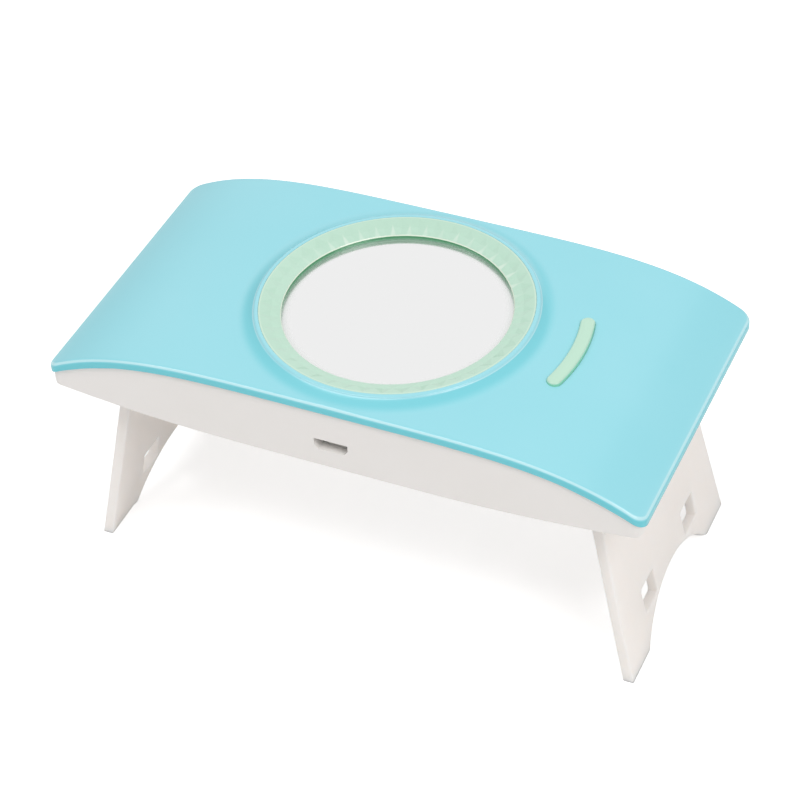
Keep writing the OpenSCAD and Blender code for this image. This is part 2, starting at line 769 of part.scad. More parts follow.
// Bright tray with a conical cup round each emitter, held by its flange under the board
module reflector() color("#D5D8DA") in_body() difference() {
    cup_wide_r = 3.6;
    cup_narrow_r = 1.9;
    base_room = 0.4;
    union() {
        translate([0, 0, floor_top]) linear_extrude(tray_flange_t) round_rect(led_board_l, led_board_w, 1);
        translate([0, 0, recess_top]) linear_extrude(floor_t + eps)
            round_rect(window_in_l, window_in_w, window_corner_r - loose_gap);
    }
    led_grid() {
        translate([0, 0, floor_top - base_sink]) linear_extrude(2)
            square([led_base_l + base_room, led_base_w + base_room], center = true);
        translate([0, 0, recess_top - eps])
            cylinder(h = floor_t - base_sink + 2 * eps, r1 = cup_wide_r, r2 = cup_narrow_r);
    }
}

module case_screws() color("#B9BCBF") in_body() both_ends() both_sides()
    translate([screw_x, screw_y, head_z]) screw(screw_d, screw_l, head_d, head_t);

// Leg in its own frame: hinge axis along Y at the origin, plate hanging straight down
module leg_outline() {
    past = 2;
    window_corner = 0.5;
    top_half = leg_foot_w / 2 - leg_reach * tan(leg_taper);
    low_half = leg_foot_w / 2 + past * tan(leg_taper);
    arch_r = (pow(leg_arch_w / 2, 2) + pow(leg_arch_h, 2)) / (2 * leg_arch_h);
    difference() {
        polygon([[-top_half, 0], [top_half, 0],
                 [low_half, -leg_reach - past], [-low_half, -leg_reach - past]]);
        translate([0, -leg_reach + leg_arch_h - arch_r]) circle(arch_r, $fn = 180);
        for (s = [-1, 1]) translate([s * window_y, -leg_reach + window_lift + window_h / 2])
            round_rect(window_w, window_h, window_corner);
    }
}

module leg_solid() {
    top_half = leg_foot_w / 2 - leg_reach * tan(leg_taper);
    notch = knuckle_r + free_gap + 0.4;
    notch_half_w = lug_y + lug_w + free_gap;
    reach_out = 5;
    difference() {
        union() {
            rotate([90, 0, 90]) translate([0, 0, -leg_t / 2]) linear_extrude(leg_t) leg_outline();
            translate([0, top_half, 0]) rotate([90, 0, 0]) cylinder(h = 2 * top_half, r = knuckle_r);
        }
        // Space for the case lugs and, between them, for putting in the pins
        translate([-reach_out, -notch_half_w, -notch])
            cube([2 * reach_out, 2 * notch_half_w, notch + reach_out]);
        both_sides() translate([0, pin_far + free_gap, 0]) rotate([90, 0, 0])
            cylinder(h = pin_l, r = pin_d / 2 + pin_clear);
    }
}

module right_leg_placed() {
    difference() {
        translate([hinge_x, 0, seam_z + hinge_z]) rotate([0, -leg_splay, 0]) leg_solid();
        translate([0, 0, -10]) cube([big, big, 20], center = true);
    }
}

module right_leg() color("#F3F2EF") right_leg_placed();

module left_leg() color("#F3F2EF") mirror([1, 0, 0]) right_leg_placed();

module hinge_pin_pair() in_body() both_sides()
    translate([hinge_x, pin_far, hinge_z]) rotate([90, 0, 0]) cylinder(h = pin_l, d = pin_d);

module right_hinge_pins() color("#B9BCBF") hinge_pin_pair();

module left_hinge_pins() color("#B9BCBF") mirror([1, 0, 0]) hinge_pin_pair();

top_cover();
mirror_bezel();
mirror_glass();
mirror_tape();
power_button();
switch_plunger();
switch_body();
button_board();
button_board_screws();
bottom_case();
usb_socket();
usb_tongue();
control_board();
controller_chip();
led_driver();
resistors();
capacitors();
control_board_screws();
switch_leads();
led_leads();
led_board();
led_bases();
led_domes();
reflector();
case_screws();
left_leg();
right_leg();
left_hinge_pins();
right_hinge_pins();
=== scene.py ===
"""Dresses the portable nail lamp: its visible surfaces, finishes, light and camera.

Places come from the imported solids, and each class holds the finer sizes of its own pieces.
Lengths are in millimetres until a mesh is made, and then in metres. X runs along the lamp, its
charging port faces -Y, and Z is up.
"""

import logging
import math
from dataclasses import dataclass
from enum import Enum

import bmesh
import bpy
import numpy as np
from mathutils import Matrix, Vector

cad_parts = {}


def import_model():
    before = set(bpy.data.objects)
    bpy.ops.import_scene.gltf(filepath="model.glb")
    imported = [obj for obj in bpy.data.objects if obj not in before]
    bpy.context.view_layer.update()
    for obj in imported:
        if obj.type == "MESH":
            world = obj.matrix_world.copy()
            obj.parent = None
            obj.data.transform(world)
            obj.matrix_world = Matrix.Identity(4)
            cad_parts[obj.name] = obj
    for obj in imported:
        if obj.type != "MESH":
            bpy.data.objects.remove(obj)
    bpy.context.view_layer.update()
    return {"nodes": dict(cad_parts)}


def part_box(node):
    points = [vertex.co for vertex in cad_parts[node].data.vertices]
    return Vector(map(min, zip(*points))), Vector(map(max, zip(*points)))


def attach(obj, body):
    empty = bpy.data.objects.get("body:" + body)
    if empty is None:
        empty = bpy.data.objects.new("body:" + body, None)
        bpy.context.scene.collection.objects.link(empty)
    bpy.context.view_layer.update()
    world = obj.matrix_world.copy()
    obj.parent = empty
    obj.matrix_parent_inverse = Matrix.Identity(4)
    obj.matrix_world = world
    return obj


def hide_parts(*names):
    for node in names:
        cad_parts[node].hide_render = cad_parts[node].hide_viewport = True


log = logging.getLogger("nail_lamp")

Array = np.ndarray
Tree = bpy.types.NodeTree
Socket = bpy.types.NodeSocket
Pair = tuple[float, float]
Band = tuple[float, float, float, float]
MM = 0.001
BODY = "body"
# Points this close are merged, and faces this small are dropped
MERGE_M, EMPTY_M2 = 2e-6, 1e-14
# Points round a small turned part
ROUND_COLUMNS = 48
# A band of radii that no point lies in
NOWHERE: Band = (-4.0, -3.0, -2.0, -1.0)


def linear(hex_colour: str) -> tuple[float, float, float, float]:
    """Turns an sRGB hex colour into linear RGBA.

    Args:
        hex_colour: six hex digits after a hash sign.

    Returns:
        The linear red, green and blue, and an alpha of 1.
    """
    values = [int(hex_colour[i : i + 2], 16) / 255 for i in (1, 3, 5)]
    red, green, blue = (v / 12.92 if v <= 0.04045 else ((v + 0.055) / 1.055) ** 2.4 for v in values)
    return red, green, blue, 1.0


def metres(lengths_mm: tuple[float, ...]) -> tuple[float, ...]:
    """Lengths in metres, from millimetres."""
    return tuple(length * MM for length in lengths_mm)


def box_mm(node: str) -> tuple[Array, Array]:
    """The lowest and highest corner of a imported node, in millimetres."""
    low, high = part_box(node)
    return np.array(low) / MM, np.array(high) / MM


class Surface:
    """Grids of points that are joined into one mesh.

    Each grid is computed as one array, and its rows and columns become quads.
    """

    def __init__(self) -> None:
        """Starts with no points."""
        self.points: list[Array] = []
        self.faces: list[Array] = []
        self.fills: list[tuple[Array, ...]] = []
        self.count = 0

    def grid(self, points: Array, wrap: bool = True) -> Array:
        """Adds a grid of quads.

        Args:
            points: array of shape (rows, columns, 3), in millimetres.
            wrap: whether the last column joins the first.

        Returns:
            The points' indices, in the grid's own rows and columns.
        """
        rows, columns = points.shape[:2]
        index = np.arange(rows * columns).reshape(rows, columns) + self.count
        self.points.append(points.reshape(-1, 3))
        self.count += rows * columns
        ring = np.column_stack([index, index[:, :1]]) if wrap else index
        quads = np.stack([ring[:-1, :-1], ring[:-1, 1:], ring[1:, 1:], ring[1:, :-1]], axis=-1)
        self.faces.append(quads.reshape(-1, 4))
        return index

    def lid(self, *rings: Array) -> None:
        """Closes each ring of indices with one face."""
        self.faces += [ring.reshape(1, -1) for ring in rings]

    def fill(self, *rings: Array) -> None:
        """Closes a flat area that lies inside the first ring and outside the others."""
        self.fills.append(rings)

    def close_fills(self, work: bmesh.types.BMesh) -> None:
        """Fills each flat area with triangles between its rings.

        Args:
            work: the mesh, which holds the rings' points.
        """
        work.verts.ensure_lookup_table()
        for rings in self.fills:
            edges = []
            for ring in rings:
                for first, second in zip(ring.tolist(), np.roll(ring, -1).tolist()):
                    pair = (work.verts[first], work.verts[second])
                    edges.append(work.edges.get(pair) or work.edges.new(pair))
            bmesh.ops.triangle_fill(work, edges=edges, use_beauty=True)

    def object(self, name: str, sharp_deg: float = 40.0) -> bpy.types.Object:
        """Makes the mesh object, with doubles merged and faces turned outwards.

        Args:
            name: the object's name.
            sharp_deg: edges that turn by more than this stay sharp.

        Returns:
            The new object, at the origin.
        """
        mesh = bpy.data.meshes.new(name)
        points = np.concatenate(self.points) * MM
        faces = [face for block in self.faces for face in block.tolist()]
        mesh.from_pydata(points.tolist(), [], faces)
        work = bmesh.new()
        work.from_mesh(mesh)
        self.close_fills(work)
        bmesh.ops.remove_doubles(work, verts=work.verts, dist=MERGE_M)
        empty = [face for face in work.faces if face.calc_area() < EMPTY_M2]
        bmesh.ops.delete(work, geom=empty, context="FACES_ONLY")
        bmesh.ops.recalc_face_normals(work, faces=work.faces)
        work.to_mesh(mesh)
        work.free()
        mesh.shade_smooth()
        mesh.set_sharp_from_angle(angle=math.radians(sharp_deg))
        piece = bpy.data.objects.new(name, mesh)
        bpy.context.scene.collection.objects.link(piece)
        return piece


def feed(node: bpy.types.Node, inputs: dict) -> None:
    """Gives a node's inputs their values and links.

    Args:
        node: the node.
        inputs: each input's name or number, with its value or the output socket that feeds it.
    """
    for name, value in inputs.items():
        if isinstance(value, Socket):
            node.id_data.links.new(value, node.inputs[name])
        else:
            node.inputs[name].default_value = value


def add_node(tree: Tree, kind: str, inputs: dict | None = None, **settings: object) -> Socket:
    """Adds a shader node with its settings and links.

    Args:
        tree: the node tree.
        kind: the node's type name, after the words ShaderNode.
        inputs: the inputs' values and links, as in feed.
        **settings: the node's own settings.

    Returns:
        The first output in use; its node has the others.
    """
    node = tree.nodes.new("ShaderNode" + kind)
    for name, value in settings.items():
        setattr(node, name, value)
    feed(node, inputs or {})
    return next(socket for socket in node.outputs if socket.enabled)


def own_node(tree: Tree, kind: str) -> bpy.types.Node:
    """The node of a type that a new tree comes with."""
    return next(node for node in tree.nodes if node.type == kind)


def fade(value: Socket, steps: Pair, low: float | Socket = 0.0, high: float | Socket = 1.0) -> Socket:
    """Goes smoothly from one value to another while a third passes between two steps.

    From a low of 0 to a high that is itself a share, the result is the product of both shares.

    Args:
        value: the socket that is followed.
        steps: where the change starts and ends; the start may be the larger.
        low: result before the start.
        high: result after the end.

    Returns:
        The result's socket.
    """
    inputs = {"Value": value, "From Min": steps[0], "From Max": steps[1], "To Min": low, "To Max": high}
    return add_node(value.id_data, "MapRange", inputs, interpolation_type="SMOOTHSTEP")


def band(value: Socket, steps: Band, peak: float | Socket = 1.0) -> Socket:
    """Rises from 0 to a peak over the first two of four steps, and falls over the last two."""
    return fade(value, (steps[3], steps[2]), high=fade(value, steps[:2], high=peak))


def axis_distance(place: Socket) -> Socket:
    """How far a place lies from the mirror's upright axis: the length of its X and Y alone."""
    level = add_node(place.id_data, "VectorMath", {0: place, 1: (1.0, 1.0, 0.0)}, operation="MULTIPLY")
    return add_node(place.id_data, "VectorMath", {0: level}, operation="LENGTH")


@dataclass(frozen=True)
class PaintedLight:
    """Painted shade and painted highlights that follow a plastic's form.

    Shade is painted as a deeper colour on upright walls and in the hollow round the lip, and
    highlights are painted as a paler colour on rounded edges and on the thin lip. Bands in
    millimetres are radii about the mirror's axis, apart from foot_mm, which is two heights.
    """

    # Colour of the painted shade, and its share on upright walls
    colour: str
    wall_shade: float
    # Share of the walls' painted shade at their foot, and the heights of foot and top
    foot: float = 1.0
    foot_mm: Pair = (0.0, 1.0)
    # Share of the painted shade in the hollow, and the hollow's radii
    hollow: float = 0.0
    hollow_mm: Band = NOWHERE
    # Colour and share of the painted highlights on rounded edges
    edge_highlight_colour: str = "#FFFFFF"
    edge: float = 0.0
    # Share of the painted highlight on the lip, and the lip's radii
    lip: float = 0.0
    lip_mm: Band = NOWHERE
    # Upward part of a face's direction, from hardly leaning to upright, over which the walls' painted shade
    # comes in
    wall_tilt: Pair = (0.5, 0.1)
    # The same, for the faces of a rounded edge that get the painted highlight
    edge_tilt: Band = (0.4, 0.55, 0.78, 0.88)
    # Backward part of a face's direction, from facing the bright wall, where the hollow gets no painted
    # shade, to not
    wall_side: Pair = (0.45, 0.2)
    # How much of the painted edge highlight the lip holds back, from 0 to 1, and the shares held back that
    # leave none and all of it
    lip_highlight_cut: float = 0.5
    highlight_cut_steps: Pair = (0.8, 0.0)

    def over(self, place: Socket, way: Socket, base: Socket) -> Socket:
        """Paints shade and highlights over a colour.

        Upright faces get painted shade, less towards their foot. So does the hollow's band, unless
        it faces the bright wall behind the lamp; the larger share counts. Rounded edges get painted
        highlights outside that band, less on the lip, which has a painted highlight of its own.

        Args:
            place: Object coordinates.
            way: the face's direction.
            base: the plain colour.

        Returns:
            The colour.
        """
        tree = base.id_data
        height = add_node(tree, "SeparateXYZ", {"Vector": place}).node.outputs["Z"]
        facing = add_node(tree, "SeparateXYZ", {"Vector": way}).node.outputs
        radius = axis_distance(place)
        hollow_m, lip_m = metres(self.hollow_mm), metres(self.lip_mm)

        # Painted shade: a deeper colour on upright walls and in the hollow
        wall = fade(height, metres(self.foot_mm), self.wall_shade * self.foot, self.wall_shade)
        upright = fade(facing["Z"], self.wall_tilt, high=wall)
        hollow = band(radius, hollow_m, fade(facing["Y"], self.wall_side, high=self.hollow))
        share = add_node(tree, "Math", {0: hollow, 1: upright}, operation="MAXIMUM")
        inputs = {"Factor": share, "A": base, "B": linear(self.colour)}
        deep = add_node(tree, "Mix", inputs, data_type="RGBA")

        # Painted highlights: a paler colour on rounded edges and on the lip
        rim_share = fade(band(radius, lip_m), (0.0, 1.0), high=self.lip_highlight_cut)
        taken = add_node(tree, "Math", {0: band(radius, hollow_m), 1: rim_share}, operation="MAXIMUM")
        edge = band(facing["Z"], self.edge_tilt, fade(taken, self.highlight_cut_steps, high=self.edge))
        share = add_node(tree, "Math", {0: edge, 1: band(radius, lip_m, self.lip)}, operation="MAXIMUM")
        inputs = {"Factor": share, "A": deep, "B": linear(self.edge_highlight_colour)}
        return add_node(tree, "Mix", inputs, data_type="RGBA")


@dataclass(frozen=True)
class PaintedGlint:
    """Painted glints: a paler colour on the tips of cut facets that face the front.

    Seen from above a tip is a narrow triangle on a ridge. With u the angle in ridges plus a
    half, and its half width w = widest * (outer - r) / (outer - inner), it covers
    |u - round(u)| below w.
    """

    colour: str
    share: float
    ridges: int
    reach_mm: Pair
    widest: float
    # From just outside a tip's side to well inside it, in ridges
    side: Pair = (0.02, -0.1)
    # Backward and upward parts of a face's direction, from a face without painted tips to one with them
    front: Pair = (0.0, -0.25)
    level: Pair = (0.75, 0.85)
    # Some tips are fainter, in patches of this size, down to the faintest share
    patch_mm: float = 5.0
    patch_steps: Pair = (0.35, 0.6)
    faintest: float = 0.35

    def over(self, place: Socket, way: Socket, base: Socket) -> Socket:
        """Paints glints, a paler colour, on the tips that face the front.

        Args:
            place: Object coordinates.
            way: the face's direction.
            base: the plain colour.

        Returns:
            The colour.
        """
        tree = base.id_data
        point = add_node(tree, "SeparateXYZ", {"Vector": place}).node.outputs
        facing = add_node(tree, "SeparateXYZ", {"Vector": way}).node.outputs
        turn = add_node(tree, "Math", {0: point["Y"], 1: point["X"]}, operation="ARCTAN2")
        inputs = {0: turn, 1: self.ridges / (2 * math.pi), 2: 0.5}
        count = add_node(tree, "Math", inputs, operation="MULTIPLY_ADD")
        off = add_node(tree, "Math", {0: count, 1: 0.5}, operation="PINGPONG")
        inner, outer = metres(self.reach_mm)
        inputs = {"Value": axis_distance(place), "From Min": inner, "From Max": outer}
        width = add_node(tree, "MapRange", inputs | {"To Min": self.widest, "To Max": 0.0})
        past = add_node(tree, "Math", {0: off, 1: width}, operation="SUBTRACT")
        inputs = {"Vector": place, "Scale": 1 / (self.patch_mm * MM), "Detail": 2.0}
        patch = add_node(tree, "TexNoise", inputs)
        uneven = fade(patch, self.patch_steps, self.faintest * self.share, self.share)
        front = fade(facing["Y"], self.front, high=fade(past, self.side, high=uneven))
        share = fade(facing["Z"], self.level, high=front)
        inputs = {"Factor": share, "A": base, "B": linear(self.colour)}
        return add_node(tree, "Mix", inputs, data_type="RGBA")


@dataclass(frozen=True)
class Moulded:
    """An injection-moulded plastic: a base colour with a faint drift and a fine skin.

    The drift is the slight unevenness of the pigment, and the skin is the mould's own texture,
    drawn coarser than the real one so that it shows. Light spreads a little in a thin pale plate.
    """

    name: str
    colour: str
    drift: str
    roughness: float
    ior: float = 1.5
    drift_mm: float = 22.0
    drift_steps: Pair = (0.3, 0.7)
    skin_mm: float = 0.5
    skin_depth_mm: float = 0.004
    skin_strength: float = 0.35
    roughness_spread: float = 0.1
    scatter: float = 0.0
    scatter_mm: float = 1.0
    scatter_colour: tuple[float, float, float] = (1.0, 0.93, 0.87)
    # Painted shade and highlights that follow the form, and painted glints on facet tips
    depth: PaintedLight | None = None
    painted_glint: PaintedGlint | None = None

    def material(self) -> bpy.types.Material:
        """Builds the node material on Object coordinates.

        Returns:
            The material.
        """
        material, tree, shader = principled(self.name)
        point = add_node(tree, "TexCoord").node.outputs
        place = point["Object"]
        inputs = {"Vector": place, "Scale": 1 / (self.drift_mm * MM), "Detail": 3.0}
        cloud = add_node(tree, "TexNoise", inputs)
        low, high = self.drift_steps
        share = add_node(tree, "MapRange", {"Value": cloud, "From Min": low, "From Max": high})
        inputs = {"Factor": share, "A": linear(self.colour), "B": linear(self.drift)}
        colour = add_node(tree, "Mix", inputs, data_type="RGBA")
        # Paints glints, shade and highlights over the base colour
        for painted_light in (self.painted_glint, self.depth):
            if painted_light:
                colour = painted_light.over(place, point["Normal"], colour)

        inputs = {"Vector": place, "Scale": 1 / (self.skin_mm * MM), "Detail": 4.0}
        grain = add_node(tree, "TexNoise", inputs)
        inputs = {"Height": grain, "Strength": self.skin_strength, "Distance": self.skin_depth_mm * MM}
        least, most = (self.roughness * (1 + part * self.roughness_spread) for part in (-1, 1))
        rough = add_node(tree, "MapRange", {"Value": grain, "To Min": least, "To Max": most})
        feed(shader, {"Base Color": colour, "Normal": add_node(tree, "Bump", inputs), "Roughness": rough})
        feed(shader, {"IOR": self.ior, "Subsurface Weight": self.scatter})
        feed(shader, {"Subsurface Scale": self.scatter_mm * MM, "Subsurface Radius": self.scatter_colour})
        return material


@dataclass(frozen=True)
class Metal:
    """A bare metal with fine brushed or turned lines."""

    name: str
    colour: str
    roughness: float
    roughness_spread: float = 0.3
    line_mm: float = 0.15
    stretch: tuple[float, float, float] = (1.0, 1.0, 12.0)

    def material(self) -> bpy.types.Material:
        """Builds the node material, with lines stretched along one axis.

        Returns:
            The material.
        """
        material, tree, shader = principled(self.name)
        place = add_node(tree, "TexCoord").node.outputs["Object"]
        along = add_node(tree, "Mapping", {"Vector": place, "Scale": self.stretch})
        inputs = {"Vector": along, "Scale": 1 / (self.line_mm * MM), "Detail": 2.0}
        lines = add_node(tree, "TexNoise", inputs)
        least, most = (self.roughness * (1 + part * self.roughness_spread) for part in (-1, 1))
        rough = add_node(tree, "MapRange", {"Value": lines, "To Min": least, "To Max": most})
        feed(shader, {"Base Color": linear(self.colour), "Metallic": 1.0, "Roughness": rough})
        return material


@dataclass(frozen=True)
class SilveredGlass:
    """A mirror whose silver thins out towards a matt ground rim.

    The rim scatters as much light as the clear middle reflects, so it shows only where something
    stands close to it and shades it.
    """

    name: str
    colour: str
    roughness: float
    ground_colour: str
    ground_roughness: float
    ground_share: float
    ground_mm: Pair

    def material(self) -> bpy.types.Material:
        """Builds the node material, which changes with the distance from the axis.

        Returns:
            The material.
        """
        material, tree, shader = principled(self.name)
        radius = axis_distance(add_node(tree, "TexCoord").node.outputs["Object"])
        ground_m = metres(self.ground_mm)
        rim_share = fade(radius, ground_m, high=self.ground_share)
        inputs = {"Factor": rim_share, "A": linear(self.colour), "B": linear(self.ground_colour)}
        feed(shader, {"Base Color": add_node(tree, "Mix", inputs, data_type="RGBA")})
        feed(shader, {"Roughness": fade(radius, ground_m, self.roughness, self.ground_roughness)})
        feed(shader, {"Metallic": fade(radius, ground_m, 1.0, 1.0 - self.ground_share)})
        return material


def principled(name: str) -> tuple[bpy.types.Material, Tree, bpy.types.Node]:
    """Starts a node material.

    Args:
        name: the material's name.

    Returns:
        The material, its node tree and its Principled shader.
    """
    material = bpy.data.materials.new(name)
    material.use_nodes = True
    tree = material.node_tree
    return material, tree, own_node(tree, "BSDF_PRINCIPLED")


class Finish(Enum):
    """Every finish on the lamp."""

    # Glossy ABS, moulded in colour: a clear soft sheen, with painted highlights as pale lines along the
    # rounded edges and the lip, and painted shade on the side and in the hollow round the lip
    COVER = Moulded(
        "glossy_aqua_abs",
        "#98DDE8",
        "#9BDEE9",
        0.2,
        # Painted shade on the upright side and in the hollow; painted highlights on the rounded edges and
        # the lip
        depth=PaintedLight(
            "#64CFDB",
            wall_shade=0.82,
            hollow=0.5,
            hollow_mm=(30.25, 30.6, 31.5, 33.8),
            edge_highlight_colour="#CDF2F7",
            edge=0.75,
            lip=0.08,
            lip_mm=(29.1, 29.3, 30.1, 30.5),
        ),
    )
    # The same plastic in mint, a little duller, for the button that fingers rub; painted shade on its
    # upright sides
    MINT = Moulded("mint_abs", "#C4E7D2", "#C0E4CF", 0.3, depth=PaintedLight("#7FDDB8", wall_shade=0.7))
    # Polished mint for the cut facets: each flat face mirrors its own part of the room, and painted shade,
    # highlights and glints are added
    CUT_MINT = Moulded(
        "diamond_cut_mint_abs",
        "#C2E3D0",
        "#BFE1CD",
        0.17,
        skin_depth_mm=0.001,
        # Painted shade on the walls, darker towards their top; painted highlights on the rounded edges and
        # the outer rim
        depth=PaintedLight(
            "#4E9C6C",
            wall_shade=1.0,
            foot=0.55,
            foot_mm=(60.2, 61.1),
            edge_highlight_colour="#EDF7E6",
            edge=0.85,
            lip=0.25,
            lip_mm=(28.75, 28.85, 29.3, 29.4),
        ),
        # Painted glints on the tips of the facets that face the front
        painted_glint=PaintedGlint("#EAF6EA", 0.5, 45, (24.6, 27.5), 0.2),
    )
    # Satin ABS, moulded in white: a dull even sheen
    CASE = Moulded("satin_white_abs", "#F3EFEC", "#F1EDE9", 0.42)
    # The same in thin plates: light that enters them brightens the windows' shaded walls
    LEG = Moulded("satin_white_leg_abs", "#F5EFEB", "#F3EDE8", 0.42, scatter=0.8, scatter_mm=2.5)
    # Solder mask, coated over glass fibre: an even colour with a half gloss
    BOARD = Moulded("green_solder_mask", "#2F6B45", "#2A6340", 0.35, drift_mm=6.0)
    WHITE_BOARD = Moulded("white_solder_mask", "#ECEDED", "#E6E8E8", 0.35, drift_mm=6.0)
    # Epoxy, moulded in black: dull, with a fine grain
    BLACK = Moulded("black_epoxy", "#262729", "#2C2D30", 0.5, drift_mm=3.0)
    # Fired ceramic: dull and tan
    CERAMIC = Moulded("tan_ceramic", "#B99B6B", "#AF9162", 0.5, drift_mm=2.0)
    # Glass-filled nylon, moulded in a pale colour: a dull tongue in the charging socket
    NYLON = Moulded("white_nylon", "#EDE8DF", "#E7E1D6", 0.45, drift_mm=2.0)
    # Heat-proof plastic, moulded in ivory, round each emitter: a soft warm white
    LED_BASE = Moulded("ivory_led_base", "#EDE7D2", "#E8E0C8", 0.4, drift_mm=2.0)
    # Cast foam with a sticky face: quite matt
    TAPE = Moulded("white_foam_tape", "#F2F2EE", "#E9E9E4", 0.9, drift_mm=3.0)
    # PVC, extruded round the leads: a smooth low sheen
    RED_WIRE = Moulded("red_pvc_wire", "#C23B33", "#B8362F", 0.45, drift_mm=2.0)
    BLACK_WIRE = Moulded("black_pvc_wire", "#2A2A2C", "#232325", 0.45, drift_mm=2.0)
    # Cast silicone dome over the emitter: wet-looking, with a small sharp highlight
    DOME = Moulded("clear_silicone", "#DDE3F0", "#D5DDF2", 0.08, ior=1.41, drift_mm=1.0)
    # Silver behind glass: it shows the room, and the ring's wall only as a soft green at its rim
    MIRROR = SilveredGlass("silvered_mirror", "#EEEEEE", 0.012, "#E6EAE7", 0.3, 0.22, (22.2, 23.8))
    # Zinc plate on turned steel: grey, with fine lines along the screws and pins
    STEEL = Metal("zinc_plated_steel", "#BFC2C4", 0.3)
    # Nickel plate on pressed steel: a brighter grey inside the charging port
    SHELL = Metal("nickel_plated_steel", "#DDDFDF", 0.25)
    # Aluminium, coated on a moulded tray: bright and nearly a mirror
    TRAY = Metal("aluminised_tray", "#D9DCDE", 0.12, line_mm=0.8, stretch=(1.0, 1.0, 1.0))


class Paints:
    """Builds each finish once and puts it on pieces."""

    def __init__(self) -> None:
        """Starts with no material made."""
        self.made: dict[Finish, bpy.types.Material] = {}

    def put(self, piece: bpy.types.Object, finish: Finish) -> bpy.types.Object:
        """Gives a piece one finish.

        Args:
            piece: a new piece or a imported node.
            finish: what it gets.

        Returns:
            The same piece.
        """
        if finish not in self.made:
            self.made[finish] = finish.value.material()
        if not piece.material_slots:
            piece.data.materials.append(self.made[finish])
        for slot in piece.material_slots:
            slot.link = "OBJECT"
            slot.material = self.made[finish]
        return piece


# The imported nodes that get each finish
FINISHED_NODES = {
    Finish.COVER: "top_cover",
    Finish.CUT_MINT: "mirror_bezel",
    Finish.MIRROR: "mirror_glass",
    Finish.TAPE: "mirror_tape",
    Finish.MINT: "power_button",
    Finish.BLACK: "switch_plunger switch_body controller_chip led_driver resistors",
    Finish.BOARD: "button_board control_board",
    Finish.STEEL: "button_board_screws control_board_screws case_screws left_hinge_pins right_hinge_pins",
    Finish.CASE: "bottom_case",
    Finish.SHELL: "usb_socket",
    Finish.NYLON: "usb_tongue",
    Finish.CERAMIC: "capacitors",
    Finish.RED_WIRE: "switch_leads",
    Finish.BLACK_WIRE: "led_leads",
    Finish.WHITE_BOARD: "led_board",
    Finish.LED_BASE: "led_bases",
    Finish.DOME: "led_domes",
    Finish.TRAY: "reflector",
    Finish.LEG: "left_leg right_leg",
}


def smoothstep(value: Array) -> Array:
    """Rises from 0 to 1 with level ends, as 3v^2 - 2v^3 of the value held within 0 and 1."""
    held = np.clip(value, 0, 1)
    return held * held * (3 - 2 * held)


def rounded_loop(corners: Array, radius: Array, steps: int) -> Array:
    """Rounds the corners of a closed outline.

    Each corner becomes an arc that touches both of its sides: the arc's centre lies on the
    corner's bisector, and its points come from turning the first spoke towards the last.

    Args:
        corners: array of shape (n, 2).
        radius: the arc's radius at each corner.
        steps: points on each arc.

    Returns:
        Points of shape (n * steps, 2), in the corners' order.
    """
    before = np.roll(corners, 1, 0) - corners
    after = np.roll(corners, -1, 0) - corners
    before /= np.linalg.norm(before, axis=1, keepdims=True)
    after /= np.linalg.norm(after, axis=1, keepdims=True)
    half = np.arccos(np.clip((before * after).sum(1), -1, 1))[:, None] / 2
    middle = before + after
    middle /= np.linalg.norm(middle, axis=1, keepdims=True)
    centre = corners + middle * radius[:, None] / np.sin(half)
    first = corners + before * radius[:, None] / np.tan(half) - centre
    last = corners + after * radius[:, None] / np.tan(half) - centre
    sweep = np.pi - 2 * half[None]
    share = np.linspace(0, 1, steps)[:, None, None]
    spokes = (np.sin((1 - share) * sweep) * first + np.sin(share * sweep) * last) / np.sin(sweep)
    return (centre + spokes).transpose(1, 0, 2).reshape(-1, 2)


def loop_ways(loop: Array) -> Array:
    """Outward directions of an outline, square to the line between each point's neighbours.

    Args:
        loop: points of a closed outline that runs anticlockwise, of shape (n, 2).

    Returns:
        Unit directions, one for each point.
    """
    along = np.roll(loop, -1, 0) - np.roll(loop, 1, 0)
    ways = np.stack([along[:, 1], -along[:, 0]], 1)
    return ways / np.linalg.norm(ways, axis=1, keepdims=True)


def arc(steps: int, start_deg: float = 0.0, end_deg: float = 90.0) -> Array:
    """Angles along an arc, in radians."""
    return np.radians(np.linspace(start_deg, end_deg, steps))


def polar(radius: Array, angle: Array, height: Array) -> Array:
    """Points at a distance from the upright axis, an angle about it and a height."""
    return np.stack(np.broadcast_arrays(radius * np.cos(angle), radius * np.sin(angle), height), -1)


def turned(profile: Array, columns: int) -> Array:
    """Turns a profile of radius and height about the upright axis.

    Args:
        profile: array of shape (rows, 2).
        columns: points round the circle.

    Returns:
        A grid of shape (rows, columns, 3).
    """
    angle = np.linspace(0, 2 * np.pi, columns, endpoint=False)
    return polar(profile[:, :1], angle, profile[:, 1:])


